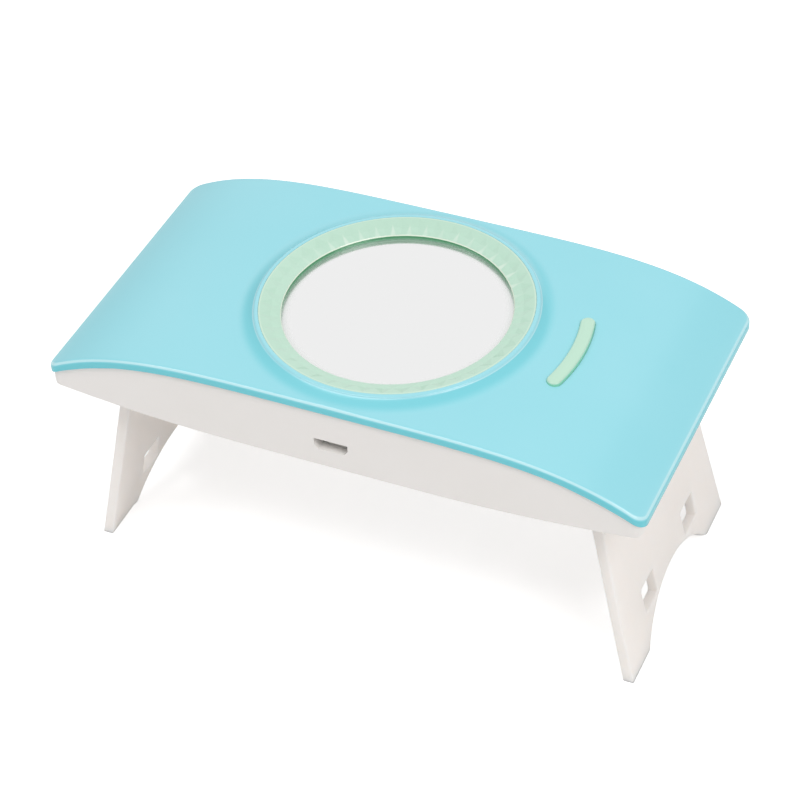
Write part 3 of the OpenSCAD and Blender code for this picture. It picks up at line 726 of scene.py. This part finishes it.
@dataclass
class Cover:
    """The arched cover, as one closed surface with soft edges, a raised lip and the button's slot."""

    low: Array
    high: Array
    # The arch and the plate
    rise: float = 9.24
    power: float = 4.42
    end_drop: float = 0.3
    thick: float = 2.27
    corner_r: float = 2.6
    # The outer edge: its arc, along the sides and at the ends, its heel and the sill inside it
    edge_r: float = 0.9
    end_edge_r: float = 0.5
    level_rows: Pair = (0.5, 0.2)
    heel_r: float = 0.3
    heel_steps: int = 5
    sill_w: float = 2.8
    # Where the side hangs lower to meet the case, by distance from the middle
    seat: float = 0.14
    seat_x: Band = (49.0, 54.0, 59.5, 64.5)
    # The lip round the mirror, and the hollow flare that climbs to it
    lip_in_r: float = 29.21
    lip_w: float = 1.0
    lip_heel_r: float = 0.03
    lip_turn_deg: float = 24.0
    flare_w: float = 4.1
    flare_r: float = 6.6
    # Depths down the side over which the flare's height fades out
    flare_fade: Pair = (0.5, 1.7)
    # The button's slot, and how far round it the field is left open
    slot_r: float = 1.58
    slot_track_r: float = 40.1
    slot_half_deg: float = 13.8
    slot_edge_r: float = 0.08
    slot_rows: Pair = (0.8, 0.3)
    slot_margin: float = 0.9
    # Rows from the lip to the edge, closer together over the first share of the way
    long_steps: int = 250
    corner_steps: int = 15
    near_share: float = 0.14
    near_steps: int = 15
    far_steps: int = 36
    under_steps: int = 16

    @property
    def half(self) -> Array:
        """Half the cover's length and width."""
        return (self.high - self.low)[:2] / 2

    @property
    def lip_z(self) -> float:
        """Height of the lip's top, which is the cover's highest line."""
        return float(self.high[2])

    @property
    def lip_out_r(self) -> float:
        """Radius at which the lip's round top meets the hollow."""
        return self.lip_in_r + self.lip_w / 2 * (1 + math.cos(math.radians(self.lip_turn_deg)))

    def under(self, x: Array) -> Array:
        """Height of the cover's lower surface: an arch that falls as a high power of x."""
        return self.low[2] - self.end_drop + self.rise * (1 - np.abs(x / self.half[0]) ** self.power)

    def top(self, x: Array, y: Array) -> Array:
        """Height of the upper surface: the arch, and near the lip a hollow arc that climbs to it.

        The arc's climb at run t into the flare is r - sqrt(r^2 - t^2), with r its radius.

        Args:
            x: places along the lamp.
            y: places across it.

        Returns:
            The heights.
        """
        plain = self.under(x) + self.thick
        run = np.clip(self.lip_out_r + self.flare_w - np.hypot(x, y), 0, self.flare_w)
        climb, full = (self.flare_r - np.sqrt(self.flare_r**2 - t**2) for t in (run, self.flare_w))
        foot = self.lip_z - self.lip_w / 2 * (1 - math.sin(math.radians(self.lip_turn_deg)))
        return plain + (foot - plain) * climb / full

    def seat_drop(self, x: Array) -> Array:
        """How much the side's lower edge hangs down, near the ends, to meet the case's own arch.

        Args:
            x: places along the lamp.

        Returns:
            The drops: the seat times a smooth step up and a smooth step down.
        """
        start, full, last, end = self.seat_x
        rise = smoothstep((np.abs(x) - start) / (full - start))
        return self.seat * rise * smoothstep((end - np.abs(x)) / (end - last))

    def outline(self) -> tuple[Array, Array]:
        """Points and outward directions round the cover, seen from above.

        A rectangle with round corners: each side is sampled evenly and each corner by angle.

        Returns:
            Points and unit directions, each of shape (n, 2).
        """
        core = self.half - self.corner_r
        corners = core * np.array([(1, 1), (-1, 1), (-1, -1), (1, -1)])
        across = int(self.long_steps / 2 * core[1] / core[0]) * 2
        points, ways = [], []
        for quarter in range(4):
            angle = np.radians(quarter * 90 + np.linspace(0, 90, self.corner_steps))
            way = np.stack([np.cos(angle), np.sin(angle)], 1)
            points.append(corners[quarter] + way * self.corner_r)
            ways.append(way)
            run = across if quarter % 2 else self.long_steps
            step = np.linspace(0, 1, run + 1)[1:-1, None]
            start, end = (corners[[quarter, (quarter + 1) % 4]] + way[-1] * self.corner_r)[:, None]
            points.append(start + (end - start) * step)
            ways.append(np.repeat(way[-1:], run - 1, 0))
        return np.concatenate(points), np.concatenate(ways)

    def edge_rows(self, ways: Array) -> tuple[Array, Array]:
        """Rows of the edge's profile: how far inside the outline, and how far below the top.

        Two level rows, a quarter arc from the top to the side, a straight side, a small arc and
        the lower face.

        Args:
            ways: outward directions of the outline.

        Returns:
            Insets and drops, each of shape (rows, n).
        """
        soft = self.end_edge_r + (self.edge_r - self.end_edge_r) * ways[:, 1] ** 2
        level = np.zeros_like(soft)
        turn, heel = arc(10)[:, None], arc(self.heel_steps)[:, None] + level
        inset = [soft + row for row in self.level_rows]
        inset += [soft * (1 - np.sin(turn)), self.heel_r * (1 - np.cos(heel)), level + self.sill_w]
        drop = [level for _ in self.level_rows] + [soft * (1 - np.cos(turn))]
        drop += [self.thick - self.heel_r * (1 - np.sin(heel)), level + self.thick]
        return np.vstack(inset), np.vstack(drop)

    def build(self) -> bpy.types.Object:
        """Builds the cover from its field, edge, lip, slot and underside.

        Down the side the flare's height gives way, by a smooth step, to the arch's own.

        Returns:
            The cover.
        """
        surface = Surface()
        rim, ways = self.outline()
        inset, drop = self.edge_rows(ways)
        edge = rim - ways * inset[..., None]
        start = edge[0] / np.linalg.norm(edge[0], axis=1, keepdims=True) * self.lip_out_r
        near = np.linspace(0, self.near_share, self.near_steps)[:-1]
        steps = np.concatenate([near, np.linspace(self.near_share, 1, self.far_steps)])
        plan = start + (edge[0] - start) * steps[:, None, None]
        self.add_field(surface, np.dstack([plan, self.top(plan[..., 0], plan[..., 1])]))
        upper = self.top(edge[..., 0], edge[..., 1])
        plain = self.under(edge[..., 0]) + self.thick
        first, last = self.flare_fade
        height = upper + (plain - upper) * smoothstep((drop - first) / (last - first)) - drop
        heel = slice(-1 - self.heel_steps, -1)
        height[heel] -= self.seat_drop(edge[heel, :, 0])
        surface.grid(np.dstack([edge, height]))
        self.add_lip(surface, start, edge[-1])
        return surface.object("cover_shell")

    def add_lip(self, surface: Surface, start: Array, under_edge: Array) -> None:
        """Adds the lip's round top, the well's wall and the underside.

        From outside in, the lip is an arc of half its width, a level top and a small arc down.

        Args:
            surface: what the grids are added to.
            start: points of the lip's outer circle.
            under_edge: plan of the underside's outer row.
        """
        way = start / np.linalg.norm(start, axis=1, keepdims=True)
        r, small = self.lip_w / 2, self.lip_heel_r
        turn, back = arc(7, self.lip_turn_deg)[:, None], arc(4, 90, 180)[:, None]
        radius = self.lip_in_r + np.concatenate([r + r * np.cos(turn), small + small * np.cos(back)])
        drop = np.concatenate([r - r * np.sin(turn), small - small * np.sin(back)])
        lip = way * radius[..., None]
        surface.grid(np.dstack([lip, np.broadcast_to(self.lip_z - drop, lip.shape[:2])]))
        well = way * self.lip_in_r
        rows = np.stack([np.full(len(well), self.lip_z - small), self.under(well[:, 0])])
        surface.grid(np.dstack([np.stack([well, well]), rows]))
        plan = well + (under_edge - well) * np.linspace(0, 1, self.under_steps)[:, None, None]
        self.add_field(surface, np.dstack([plan, self.under(plan[..., 0])]), below=True)

    def add_field(self, surface: Surface, field: Array, below: bool = False) -> None:
        """Adds a field of points with the button's slot left open.

        The quads round the slot are left out, and rows run from the hole's edge to the slot's
        outline. Measured along the slot's arc and across it, the slot is a straight bar with
        round ends.

        Args:
            surface: what the field is added to.
            field: grid of points round the whole cover.
            below: whether this is the lower surface.
        """
        along, across = self.slot_place(field)
        half = self.slot_track_r * math.radians(self.slot_half_deg)
        off = np.hypot(np.maximum(np.abs(along) - half, 0), across)
        near = (off < self.slot_r + self.slot_margin) & (field[..., 0] > 0)
        shift = field.shape[1] // 2
        field, near = np.roll(field, shift, axis=1), np.roll(near, shift, axis=1)
        rows, columns = np.nonzero(near.any(1))[0], np.nonzero(near.any(0))[0]
        top, low, first, last = rows.min() - 1, rows.max() + 1, columns.min() - 1, columns.max() + 1
        index = surface.grid(field)
        keep = np.ones((len(field) - 1, field.shape[1]), bool)
        keep[top:low, first:last] = False
        surface.faces[-1] = surface.faces[-1].reshape(*keep.shape, 4)[keep]
        sides = [index[top, first:last], index[top:low, last]]
        sides += [index[low, last:first:-1], index[low:top:-1, first]]
        edge = field.reshape(-1, 3)[np.concatenate(sides) - index[0, 0]]
        self.add_slot(surface, edge, below)

    def add_slot(self, surface: Surface, edge: Array, below: bool) -> None:
        """Adds the rows from a hole in the field to the slot, with its edge and its wall.

        Args:
            surface: what the rows are added to.
            edge: points round the hole.
            below: whether this is the lower surface, which has neither edge nor wall.
        """
        along, across = self.slot_place(edge)
        half = self.slot_track_r * math.radians(self.slot_half_deg)
        core = np.clip(along, -half, half)
        way = np.stack([along - core, across], 1)
        way /= np.linalg.norm(way, axis=1, keepdims=True)
        soft = self.slot_edge_r * np.sin(arc(6, 90, 0))
        outer, inner = self.slot_rows
        reach = np.array([inner, 0.0]) if below else np.concatenate([[outer, inner], soft])
        sink = np.zeros(2) if below else np.concatenate([[0.0, 0.0], self.slot_edge_r - soft])
        spots = way * (self.slot_r + reach)[:, None, None]
        angle = (core + spots[..., 0]) / self.slot_track_r
        radius = self.slot_track_r + spots[..., 1]
        plan = np.dstack([radius * np.cos(angle), radius * np.sin(angle)])
        height = self.under(plan[..., 0]) if below else self.top(plan[..., 0], plan[..., 1])
        skirt = np.dstack([plan, height - sink[:, None]])
        surface.grid(np.concatenate([edge[None], skirt]))
        if not below:
            floor = np.dstack([plan[-1:], self.under(plan[-1:, :, 0])])
            surface.grid(np.concatenate([skirt[-1:], floor]))

    def slot_place(self, points: Array) -> tuple[Array, Array]:
        """Where points lie along the slot's arc and across it."""
        along = self.slot_track_r * np.arctan2(points[..., 1], points[..., 0])
        return along, np.hypot(points[..., 0], points[..., 1]) - self.slot_track_r


@dataclass
class Mirror:
    """The faceted ring and the round mirror that it holds."""

    ring_low: Array
    ring_high: Array
    glass_low: Array
    glass_high: Array
    pairs: int = 45
    inner_r: float = 24.45
    chamfer: float = 0.22
    edge_r: float = 0.1
    crease: float = 0.05
    crease_deg: float = 3.0
    # The slope: its upper rim's width and drop, its whole drop, and the raised corners
    rim_w: float = 0.35
    rim_drop: float = 0.02
    slope_drop: float = 1.38
    relief: float = 0.14
    # Where the middle rim lies, as shares of the slope's width and drop
    middle_in: float = 0.52
    middle_drop: float = 0.62
    # How far the ring stays above the glass and its own seat, and the steps in its underside
    glass_gap: float = 0.02
    seat_gap: float = 0.05
    inner_wall: float = 1.5
    outer_wall: float = 2.0
    # The glass: its ground edge, and rows on its faces
    ground: float = 0.25
    hub_r: float = 0.4
    middle_r: float = 12.0
    glass_columns: int = 180

    def ring(self) -> bpy.types.Object:
        """Builds the ring: smooth walls, and between its rims a slope of flat triangles.

        Every rim of the slope has two columns a facet pair. A rim's own corners fall on every
        second column, and the columns between lie on its straight sides, so each triangle is
        flat. The middle rim is half a pair ahead and alternately raised and lowered.

        Returns:
            The ring.
        """
        surface = Surface()
        outer, top, soft, bend = float(self.ring_high[0]), float(self.ring_high[2]), self.edge_r, arc(5)
        low, floor = float(self.ring_low[2]) + self.seat_gap, float(self.glass_high[2]) + self.glass_gap
        columns = 2 * self.pairs
        step = np.pi / self.pairs
        odd = np.arange(columns) % 2
        rim_r, brink = outer - self.rim_w, top - self.slope_drop
        middle_r = rim_r - self.middle_in * (rim_r - self.inner_r)
        rows = [(outer, low), (outer, top - soft)]
        rows += zip(outer - soft + soft * np.cos(bend), top - soft + soft * np.sin(bend))
        first = len(rows)
        rows += [(rim_r, top - self.rim_drop), (middle_r, top - self.middle_drop * self.slope_drop)]
        rows += [(self.inner_r + self.chamfer, brink), (self.inner_r, brink - self.chamfer)]
        rows += [(self.inner_r, floor), (self.inner_r + self.inner_wall, floor)]
        rows += [(outer - self.outer_wall, low), (outer, low)]
        radius, height = np.repeat(np.array(rows).T[..., None], columns, axis=2)
        for rim in range(3):
            radius[first + rim, odd != rim % 2] *= np.cos(step)
        height[first + 1] += self.relief * np.where(odd, 1, -1)
        index = surface.grid(polar(radius, np.arange(columns) * step, height))
        quads = surface.faces.pop().reshape(len(rows) - 1, columns, 4)
        surface.faces.append(np.delete(quads, [first, first + 1], axis=0).reshape(-1, 4))
        for rim in range(2):
            self.add_facets(surface, index[first + rim], index[first + rim + 1], rim)
        piece = surface.object("bezel_ring", sharp_deg=2.0)
        bevel = piece.modifiers.new("crease", "BEVEL")
        bevel.width = self.crease * MM
        bevel.segments = 1
        bevel.limit_method = "ANGLE"
        bevel.angle_limit = math.radians(self.crease_deg)
        return piece

    def add_facets(self, surface: Surface, upper: Array, lower: Array, corners_on: int) -> None:
        """Adds one band of triangles, each quad split from the upper rim's corner.

        Args:
            surface: what the faces are added to.
            upper: indices of the upper rim.
            lower: indices of the lower rim.
            corners_on: whether the upper rim's corners are its even (0) or odd (1) columns.
        """
        upper_next, lower_next = np.roll(upper, -1), np.roll(lower, -1)
        corner = np.arange(len(upper)) % 2 == corners_on
        third = np.where(corner, lower_next, lower)
        surface.faces.append(np.stack([upper, upper_next, third], 1))
        apex = np.where(corner, upper, upper_next)
        surface.faces.append(np.stack([apex, lower_next, lower], 1))

    def glass(self) -> bpy.types.Object:
        """Builds the mirror: a disc with a ground edge.

        Returns:
            The mirror.
        """
        surface = Surface()
        outer, ground = float(self.glass_high[0]), self.ground
        low, top = float(self.glass_low[2]), float(self.glass_high[2])
        profile = [(self.hub_r, low), (outer - ground, low), (outer, low + ground), (outer, top - ground)]
        profile += [(outer - ground, top), (self.middle_r, top), (self.hub_r, top)]
        index = surface.grid(turned(np.array(profile), self.glass_columns))
        surface.lid(index[0], index[-1])
        return surface.object("mirror_disc", sharp_deg=20.0)


@dataclass
class Button:
    """The curved power button: a bar with a rounded crown, on a wider flange with a short stem."""

    low: Array
    high: Array
    track_r: float = 40.1
    half_deg: float = 13.8
    width: float = 3.1
    crown_r: float = 0.5
    dome: float = 0.12
    flange_h: float = 0.8
    flange_w: float = 5.4
    stem_h: float = 0.3
    stem_r: float = 1.5
    hub_r: float = 0.3
    side_steps: int = 61
    end_steps: int = 31
    crown_steps: int = 6

    def build(self) -> bpy.types.Object:
        """Builds the button from rows that run round a bar with half-circle ends.

        The bar is bent about the mirror's axis: a length along it, divided by the track's radius,
        is an angle. The crown rises as 1 - u^2, with u the share of the way from the middle line.

        Returns:
            The button.
        """
        surface = Surface()
        half = self.track_r * math.radians(self.half_deg)
        side = np.linspace(-half, half, self.side_steps)
        turn = arc(self.end_steps + 2, 0, 180)[1:-1]
        end = np.full(self.end_steps, half)
        core = np.concatenate([side, end, side[::-1], -end])
        across = np.tile([0.0, -1.0], (self.side_steps, 1))
        curve = np.stack([np.sin(turn), -np.cos(turn)], 1)
        way = np.concatenate([across, curve, -across, -curve])
        top, r, out, bend = float(self.high[2]) - self.dome, self.crown_r, self.width / 2, arc(9)
        low, wide = float(self.low[2]) + self.stem_h, self.flange_w / 2
        crown = np.linspace(out - r, 0.0, self.crown_steps)[1:]
        rows = [(wide, low), (wide, low + self.flange_h), (out, low + self.flange_h)]
        rows += zip(out - r + r * np.cos(bend), top - r + r * np.sin(bend))
        rows += zip(crown, top + self.dome * (1 - (crown / (out - r)) ** 2))
        reach, height = np.array(rows).T[..., None]
        spots = way * reach[..., None]
        angle, radius = (core + spots[..., 0]) / self.track_r, self.track_r + spots[..., 1]
        index = surface.grid(polar(radius, angle, height))
        surface.lid(index[0])
        self.add_stem(surface)
        return surface.object("press_button", sharp_deg=50.0)

    def add_stem(self, surface: Surface) -> None:
        """Adds the stem that stands over the switch: a short cylinder, sunk into the flange.

        Args:
            surface: what the grid is added to.
        """
        low = float(self.low[2])
        high = low + self.stem_h + self.flange_h / 2
        profile = [(self.hub_r, low), (self.stem_r, low), (self.stem_r, high), (self.hub_r, high)]
        index = surface.grid(turned(np.array(profile), ROUND_COLUMNS) + [self.track_r, 0, 0])
        surface.lid(index[0], index[-1])


@dataclass
class Leg:
    """A leg: a plate with an arch between its feet, two windows, and a barrel at each hinge pin."""

    side: int
    hinge_x: float = 52.3
    hinge_z: float = 48.097
    splay_deg: float = 11.6
    reach: float = 49.1
    foot_w: float = 58.0
    taper_deg: float = 4.5
    thick: float = 2.5
    arch_w: float = 35.2
    arch_h: float = 8.4
    window: Pair = (7.1, 6.5)
    window_y: float = 12.45
    window_lift: float = 7.7
    window_corner_r: float = 0.5
    edge_r: float = 0.4
    # Radii in the outline's corners: feet, the arch's ends, its own points and the top
    foot_r: float = 0.5
    arch_end_r: float = 0.4
    arch_point_r: float = 0.05
    top_r: float = 0.35
    # The outline runs on this far past the foot, and the table's level cuts it off
    foot_spare: float = 1.6
    barrel_r: float = 2.1
    barrel_edge_r: float = 0.3
    notch_half_w: float = 14.3
    notch_h: float = 2.8
    bore_r: float = 1.05
    bore_end: float = 22.3
    hub_r: float = 0.2
    # Points along the arch, and on each round corner of the plate and of a window
    arch_steps: int = 41
    corner_steps: int = 4
    window_steps: int = 6

    @property
    def slope(self) -> float:
        """How much narrower half the plate gets for each millimetre upwards."""
        return math.tan(math.radians(self.taper_deg))

    @property
    def top_half(self) -> float:
        """Half the plate's width at the hinge."""
        return self.foot_w / 2 - self.reach * self.slope

    def outer_loop(self) -> Array:
        """The plate's outline in its own plane: feet, arch, sloping sides and the hinge's notch.

        The arch is part of a circle, whose radius is (w^2 / 4 + h^2) / 2h of its width and height.

        Returns:
            Points of shape (n, 2), from the hinge's axis, anticlockwise.
        """
        low = -self.reach - self.foot_spare
        low_half = self.foot_w / 2 + self.foot_spare * self.slope
        arch_r = ((self.arch_w / 2) ** 2 + self.arch_h**2) / (2 * self.arch_h)
        arch_z = -self.reach + self.arch_h - arch_r
        swing = math.acos((low - arch_z) / arch_r)
        turn = np.linspace(-swing, swing, self.arch_steps)
        arch = np.stack([arch_r * np.sin(turn), arch_z + arch_r * np.cos(turn)], 1)
        half, notch, deep = self.top_half, self.notch_half_w, -self.notch_h
        rest = [[low_half, low], [half, 0], [notch, 0], [notch, deep]]
        rest += [[-notch, deep], [-notch, 0], [-half, 0]]
        corners = np.concatenate([[[-low_half, low]], arch, rest])
        bends = [self.arch_end_r, *[self.arch_point_r] * (len(arch) - 2), self.arch_end_r]
        bends = [self.foot_r, *bends, self.foot_r, *[self.top_r] * (len(rest) - 1)]
        return rounded_loop(corners, np.array(bends), self.corner_steps)

    def window_loop(self, centre_y: float) -> Array:
        """A window's outline, which runs clockwise because it goes round a hole.

        Args:
            centre_y: where the window's middle lies along Y.

        Returns:
            Points of shape (n, 2).
        """
        half = np.array(self.window) / 2
        corners = half * np.array([[-1, -1], [-1, 1], [1, 1], [1, -1]])
        loop = rounded_loop(corners, np.full(4, self.window_corner_r), self.window_steps)
        return loop + [centre_y, -self.reach + self.window_lift + half[1]]

    def place(self, plan: Array, depth: Array) -> Array:
        """Puts points of the plate's plane into the lamp: turned about the hinge, foot on the table.

        Args:
            plan: distance along Y and height along the plate.
            depth: distance outwards from the plate's middle plane.

        Returns:
            Points in the lamp's frame.
        """
        lean = math.radians(self.splay_deg)
        x = self.hinge_x - plan[..., 1] * math.sin(lean) + depth * math.cos(lean)
        z = self.hinge_z + plan[..., 1] * math.cos(lean) + depth * math.sin(lean)
        return np.stack([self.side * x, plan[..., 0], np.maximum(z, 0.0)], -1)

    def build(self) -> bpy.types.Object:
        """Builds the plate from its loops' rounded edges and flat faces, and the two barrels.

        Returns:
            The leg.
        """
        surface = Surface()
        half, r, turn = self.thick / 2, self.edge_r, arc(5)
        inset = np.concatenate([r * (1 - np.sin(turn)), r * (1 - np.cos(turn))])
        depth = np.concatenate([half - r * (1 - np.cos(turn)), -half + r * (1 - np.sin(turn))])
        rings = []
        for loop in (self.outer_loop(), self.window_loop(self.window_y), self.window_loop(-self.window_y)):
            plan = loop - loop_ways(loop) * inset[:, None, None]
            level = np.broadcast_to(depth[:, None], plan.shape[:2])
            rings.append(surface.grid(self.place(plan, level)))
        surface.fill(*[ring[0] for ring in rings])
        surface.fill(*[ring[-1] for ring in rings])
        for end in (-1, 1):
            self.add_barrel(surface, end)
        return surface.object("leg_plate_right" if self.side > 0 else "leg_plate_left", sharp_deg=35.0)

    def add_barrel(self, surface: Surface, end: int) -> None:
        """Adds a barrel, turned about the hinge's axis, with the bore for its pin.

        Args:
            surface: what the grid is added to.
            end: -1 or 1, the end of the hinge along Y.
        """
        r, soft = self.barrel_r, self.barrel_edge_r
        rise, fall = soft * np.sin(arc(5)), soft * np.cos(arc(5))
        near = np.stack([r - soft + rise, self.notch_half_w + soft - fall], 1)
        far = np.stack([r - soft + fall, self.top_half - soft + rise], 1)
        bore = [[self.hub_r, self.bore_end], [self.bore_r, self.bore_end], [self.bore_r, self.notch_half_w]]
        profile = np.concatenate([bore, near, far, [[self.hub_r, self.top_half]]])
        x, z, along = np.moveaxis(turned(profile, ROUND_COLUMNS), -1, 0)
        x, z = self.side * (self.hinge_x + x), self.hinge_z + z
        index = surface.grid(np.stack([x, end * along, z], -1))
        surface.lid(index[0], index[-1])


@dataclass(frozen=True)
class Panel:
    """A rectangular soft light that faces the lamp, with its place and size in metres."""

    name: str
    place: tuple[float, float, float]
    size: Pair
    radiance: float

    def hang(self, aim_z: float) -> None:
        """Adds the light, with its longer side level.

        Its power is 4 * radiance * area, which gives a face at any distance the same brightness
        for the same share of its view.

        Args:
            aim_z: height in millimetres of the point it faces.
        """
        data = bpy.data.lights.new(self.name, "AREA")
        data.shape = "RECTANGLE"
        data.size, data.size_y = self.size
        data.energy = 4 * self.radiance * self.size[0] * self.size[1]
        lamp = bpy.data.objects.new(self.name, data)
        back = Vector(self.place).normalized()
        right = (Vector((1, 0, 0)) - back * back.x).normalized()
        turn = Matrix((right, back.cross(right), back)).transposed().to_4x4()
        lamp.matrix_world = Matrix.Translation(Vector(self.place) + Vector((0, 0, aim_z * MM))) @ turn
        bpy.context.scene.collection.objects.link(lamp)


PANELS = (
    # High in front on the right: it brightens the right leg's outer face and the windows' walls
    Panel("side_fill", (0.68, -0.32, 0.76), (0.5, 0.5), 3.3),
    # High in front on the left: the bright line along the cover's front edge and on the lip
    Panel("front_strip", (-0.32, -0.4, 0.94), (0.9, 0.34), 3.1),
)


@dataclass
class Studio:
    """The camera at the photograph's angle, a pale floor and plain soft light."""

    azimuth_deg: float = 26.592
    elevation_deg: float = 41.462
    roll_deg: float = -3.978
    distance: float = 528.04
    shift_right: float = -0.042
    shift_up: float = -10.862
    aim_z: float = 49.897
    focal_px: float = 2483.74
    frame_px: float = 800.0
    sensor: float = 36.0
    # Brightness of the surround from the front and from behind, and of the room in reflections
    surround: Pair = (0.44, 0.68)
    room: float = 0.4
    # The bright wall in reflections: parts of the direction backwards and to the right
    wall_y: Pair = (0.2, 0.55)
    wall_x: Band = (-0.84, -0.6, 0.14, 0.24)
    # The floor's reach, and the light that lifts it to white for the camera alone
    floor_reach: float = 1500.0
    floor_glow: float = 0.44

    def camera(self) -> None:
        """Adds the camera from the viewing angle and the distance to the lamp's middle."""
        angles = (self.azimuth_deg, self.elevation_deg, self.roll_deg)
        azimuth, elevation, roll = (math.radians(angle) for angle in angles)
        level = math.cos(elevation)
        back = Vector((math.sin(azimuth) * level, -math.cos(azimuth) * level, math.sin(elevation)))
        right = (-back).cross(Vector((0, 0, 1))).normalized()
        up = right.cross(-back).normalized()
        turned_right = right * math.cos(roll) + up * math.sin(roll)
        turned_up = up * math.cos(roll) - right * math.sin(roll)
        place = back * self.distance + turned_right * self.shift_right + turned_up * self.shift_up
        place += Vector((0, 0, self.aim_z))
        data = bpy.data.cameras.new("camera")
        data.sensor_width = self.sensor
        data.lens = self.focal_px / self.frame_px * self.sensor
        data.clip_start = 0.01
        data.clip_end = 20
        camera = bpy.data.objects.new("camera", data)
        turn = Matrix((turned_right, turned_up, back)).transposed().to_4x4()
        camera.matrix_world = Matrix.Translation(place * MM) @ turn
        bpy.context.scene.collection.objects.link(camera)
        bpy.context.scene.camera = camera

    def light(self) -> None:
        """Adds a soft surround and the panels.

        The surround is white to the camera. It lights a little more from behind than from the
        front. Gloss and glass see a white wall behind the lamp, which ends on both sides, and a
        darker room beyond it.
        """
        world = bpy.data.worlds.new("studio")
        bpy.context.scene.world = world
        world.use_nodes = True
        tree = world.node_tree
        ray = add_node(tree, "LightPath").node.outputs
        direction = add_node(tree, "TexCoord").node.outputs["Generated"]
        way = add_node(tree, "SeparateXYZ", {"Vector": direction}).node.outputs
        soft = fade(way["Y"], (-1.0, 1.0), *self.surround)
        wall = band(way["X"], self.wall_x, fade(way["Y"], self.wall_y))
        seen = add_node(tree, "Mix", {"Factor": wall, "A": self.room, "B": 1.0})
        inputs = {0: ray["Is Glossy Ray"], 1: ray["Is Transmission Ray"]}
        clear = add_node(tree, "Math", inputs, operation="MAXIMUM")
        strength = add_node(tree, "Mix", {"Factor": clear, "A": soft, "B": seen})
        strength = add_node(tree, "Mix", {"Factor": ray["Is Camera Ray"], "A": strength, "B": 1.0})
        feed(own_node(tree, "BACKGROUND"), {"Strength": strength, "Color": linear("#FFFFFF")})
        for panel in PANELS:
            panel.hang(self.aim_z)

    def floor(self) -> None:
        """Adds a pale floor under the feet, which takes the lamp's shadow."""
        surface = Surface()
        reach = np.array([-self.floor_reach, self.floor_reach])
        x, y = np.meshgrid(reach, reach)
        surface.grid(np.dstack([x, y, np.zeros_like(x)]), wrap=False)
        floor = surface.object("floor")
        material, tree, shader = principled("pale_floor")
        feed(shader, {"Base Color": linear("#F4F4F4"), "Roughness": 0.9, "Specular IOR Level": 0.0})
        seen = add_node(tree, "LightPath").node.outputs["Is Camera Ray"]
        glow = add_node(tree, "Emission", {"Strength": seen, "Color": (*[self.floor_glow] * 3, 1.0)})
        both = add_node(tree, "AddShader", {0: shader.outputs[0], 1: glow})
        feed(own_node(tree, "OUTPUT_MATERIAL"), {"Surface": both})
        floor.data.materials.append(material)


def dress(paints: Paints) -> None:
    """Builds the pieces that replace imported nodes, in their finishes.

    Args:
        paints: the finishes.
    """
    mirror = Mirror(*box_mm("mirror_bezel"), *box_mm("mirror_glass"))
    pieces = (
        (Cover(*box_mm("top_cover")).build(), Finish.COVER, "cover_blue", BODY, "top_cover"),
        (mirror.ring(), Finish.CUT_MINT, "mint", BODY, "mirror_bezel"),
        (mirror.glass(), Finish.MIRROR, "mirror_glass", BODY, "mirror_glass"),
        (Button(*box_mm("power_button")).build(), Finish.MINT, "mint", "button", "power_button"),
        (Leg(1).build(), Finish.LEG, "leg_white", "leg_right", "right_leg"),
        (Leg(-1).build(), Finish.LEG, "leg_white", "leg_left", "left_leg"),
    )
    for piece, finish, slot, body, node in pieces:
        paints.put(piece, finish)
        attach(piece, body)
        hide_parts(node)
        log.info("%s: %d points, %s", piece.name, len(piece.data.vertices), finish.value.name)


def main() -> None:
    """Builds the lamp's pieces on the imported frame, then the light and the camera."""
    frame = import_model()
    bpy.context.scene.view_settings.view_transform = "Standard"
    studio = Studio()
    studio.camera()
    studio.light()
    studio.floor()
    paints = Paints()
    finishes = {name: finish for finish, names in FINISHED_NODES.items() for name in names.split()}
    for name, node in frame["nodes"].items():
        paints.put(node, finishes[name])
    dress(paints)


if __name__ == "__main__":
    logging.basicConfig(level=logging.INFO)
    main()
